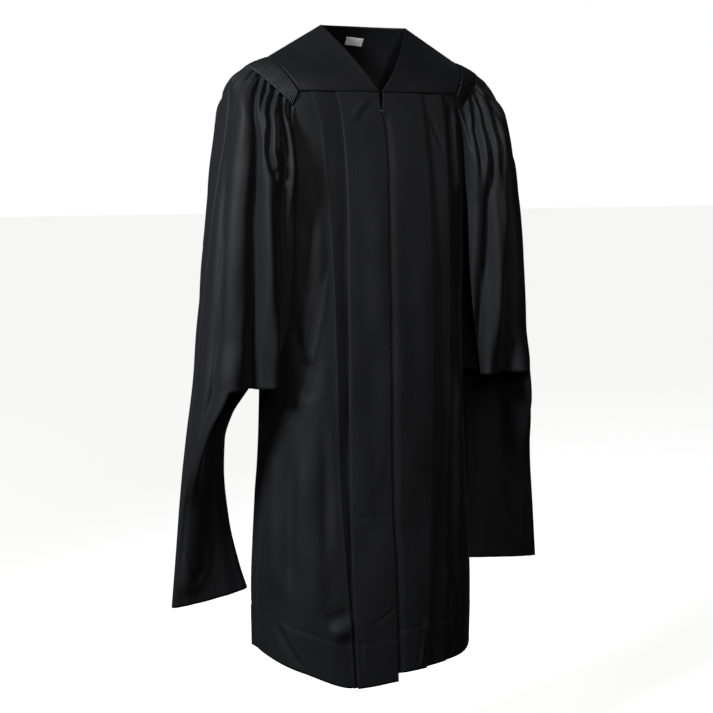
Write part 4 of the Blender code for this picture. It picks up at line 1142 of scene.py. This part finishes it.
def coilChain():
    # one loop of the coil is a small block with its edges taken off, set again and again
    shape = bmesh.new()
    top = zipper["sliderZ"] - zipper["sliderHeight"] / 2 - zipper["sliderGap"]
    bottom = zipper["topZ"] - zipper["length"]
    count = int((top - bottom) / zipper["pitch"])
    for i in range(count):
        z = top - zipper["pitch"] * (i + 0.5)
        for hand in (-1, 1):
            place = zipLine(zipper["x"] + hand * zipper["loopApart"], z - hand * zipper["loopStagger"])
            size = Matrix.Diagonal((*zipper["loop"], 1.0))
            bmesh.ops.create_cube(shape, size=1.0, matrix=Matrix.Translation(place) @ size)
    bmesh.ops.bevel(
        shape, geom=shape.edges[:], offset=zipper["loopBevel"], affect="EDGES", segments=1, profile=0.5,
        material=-1,
    )
    mesh = bpy.data.meshes.new("zipCoil")
    shape.to_mesh(mesh)
    shape.free()
    mesh.materials.append(materials["coil"])
    piece = bpy.data.objects.new("zipCoil", mesh)
    bpy.context.scene.collection.objects.link(piece)
    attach(piece, "gown")
    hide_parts("zip_chain")


coilChain()
for metalNode in ("zip_slider", "zip_pull_tab"):
    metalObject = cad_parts[metalNode]
    for metalSlot in metalObject.material_slots:
        metalSlot.material = materials["metal"]
print("zip made")


# floor, light and camera
studio = dict(
    floorZ=-1.50, floorSize=60.0, floorColour="#f6f6f5", floorRoughness=0.9, floorGlow=0.975,
    worldColour="#ffffff", worldLight=0.022,
    # size is in metres, cone in degrees, power in watts
    key=dict(place=(-2.00, -0.80, 0.85), aim=(-0.32, -0.05, -0.48), size=0.35, cone=58.0, power=430.0,
             colour=(0.88, 0.92, 1.0)),
    fill=dict(place=(-0.90, -3.2, 1.00), aim=(-0.20, 0.0, -0.38), size=0.60, cone=46.0, power=190.0,
              colour=(1.0, 0.99, 0.97)),
)

floorShape = bmesh.new()
bmesh.ops.create_grid(floorShape, x_segments=1, y_segments=1, size=studio["floorSize"] / 2)
bmesh.ops.translate(floorShape, verts=floorShape.verts, vec=(0.0, 0.0, studio["floorZ"]))
floorMesh = bpy.data.meshes.new("studioFloor")
floorShape.to_mesh(floorMesh)
floorShape.free()
floorMaterial, _, floorShader = startMaterial("paintedFloorPale")
floorShader.inputs["Base Color"].default_value = toLinear(studio["floorColour"])
floorShader.inputs["Roughness"].default_value = studio["floorRoughness"]
floorShader.inputs["Emission Color"].default_value = toLinear(studio["floorColour"])
floorShader.inputs["Emission Strength"].default_value = studio["floorGlow"]
floorMesh.materials.append(floorMaterial)
floor = bpy.data.objects.new("studioFloor", floorMesh)
bpy.context.scene.collection.objects.link(floor)
floor.visible_diffuse = False
floor.visible_glossy = False

world = bpy.data.worlds.new("studioWorld")
bpy.context.scene.world = world
world.use_nodes = True
worldTree = world.node_tree
for node in list(worldTree.nodes):
    worldTree.nodes.remove(node)
white = toLinear(studio["worldColour"])
seen = addNode(worldTree, "ShaderNodeBackground", {"Color": white, "Strength": 1.0})
lit = addNode(worldTree, "ShaderNodeBackground", {"Color": white, "Strength": studio["worldLight"]})
rays = addNode(worldTree, "ShaderNodeLightPath")
both = addNode(worldTree, "ShaderNodeMixShader", {
    0: rays.outputs["Is Camera Ray"], 1: lit.outputs["Background"], 2: seen.outputs["Background"],
})
addNode(worldTree, "ShaderNodeOutputWorld", {"Surface": both.outputs["Shader"]})


def spotLight(name, settings):
    lamp = bpy.data.lights.new(name, "SPOT")
    lamp.energy = settings["power"]
    lamp.color = settings["colour"]
    lamp.shadow_soft_size = settings["size"]
    lamp.spot_size = math.radians(settings["cone"])
    lamp.spot_blend = 1.0
    holder = bpy.data.objects.new(name, lamp)
    holder.location = settings["place"]
    aim = Vector(settings["aim"]) - Vector(settings["place"])
    holder.rotation_euler = aim.to_track_quat("-Z", "Y").to_euler()
    bpy.context.scene.collection.objects.link(holder)


spotLight("keyLight", studio["key"])
spotLight("fillLight", studio["fill"])

camera = dict(
    azimuth=-25.0, distance=2.75, height=-0.246, pitch=7.75, lens=72.96, sensor=36.0, shift=-0.0098,
    nearest=0.05,
)
turn, pitch = math.radians(-camera["azimuth"]), math.radians(camera["pitch"])
forward = Vector((math.sin(turn) * math.cos(pitch), math.cos(turn) * math.cos(pitch), -math.sin(pitch)))
right = Vector((math.cos(turn), -math.sin(turn), 0.0))
upward = right.cross(forward)
lensData = bpy.data.cameras.new("studioCamera")
lensData.lens = camera["lens"]
lensData.sensor_width = camera["sensor"]
lensData.sensor_fit = "HORIZONTAL"
lensData.shift_x = camera["shift"]
lensData.clip_start = camera["nearest"]
view = bpy.data.objects.new("studioCamera", lensData)
rotation = Matrix((right, upward, -forward)).transposed().to_4x4()
eye = Vector((-math.sin(turn) * camera["distance"], -math.cos(turn) * camera["distance"], camera["height"]))
view.matrix_world = Matrix.Translation(eye) @ rotation
bpy.context.scene.collection.objects.link(view)
bpy.context.scene.camera = view
bpy.context.scene.view_settings.view_transform = "Standard"
print("studio set")
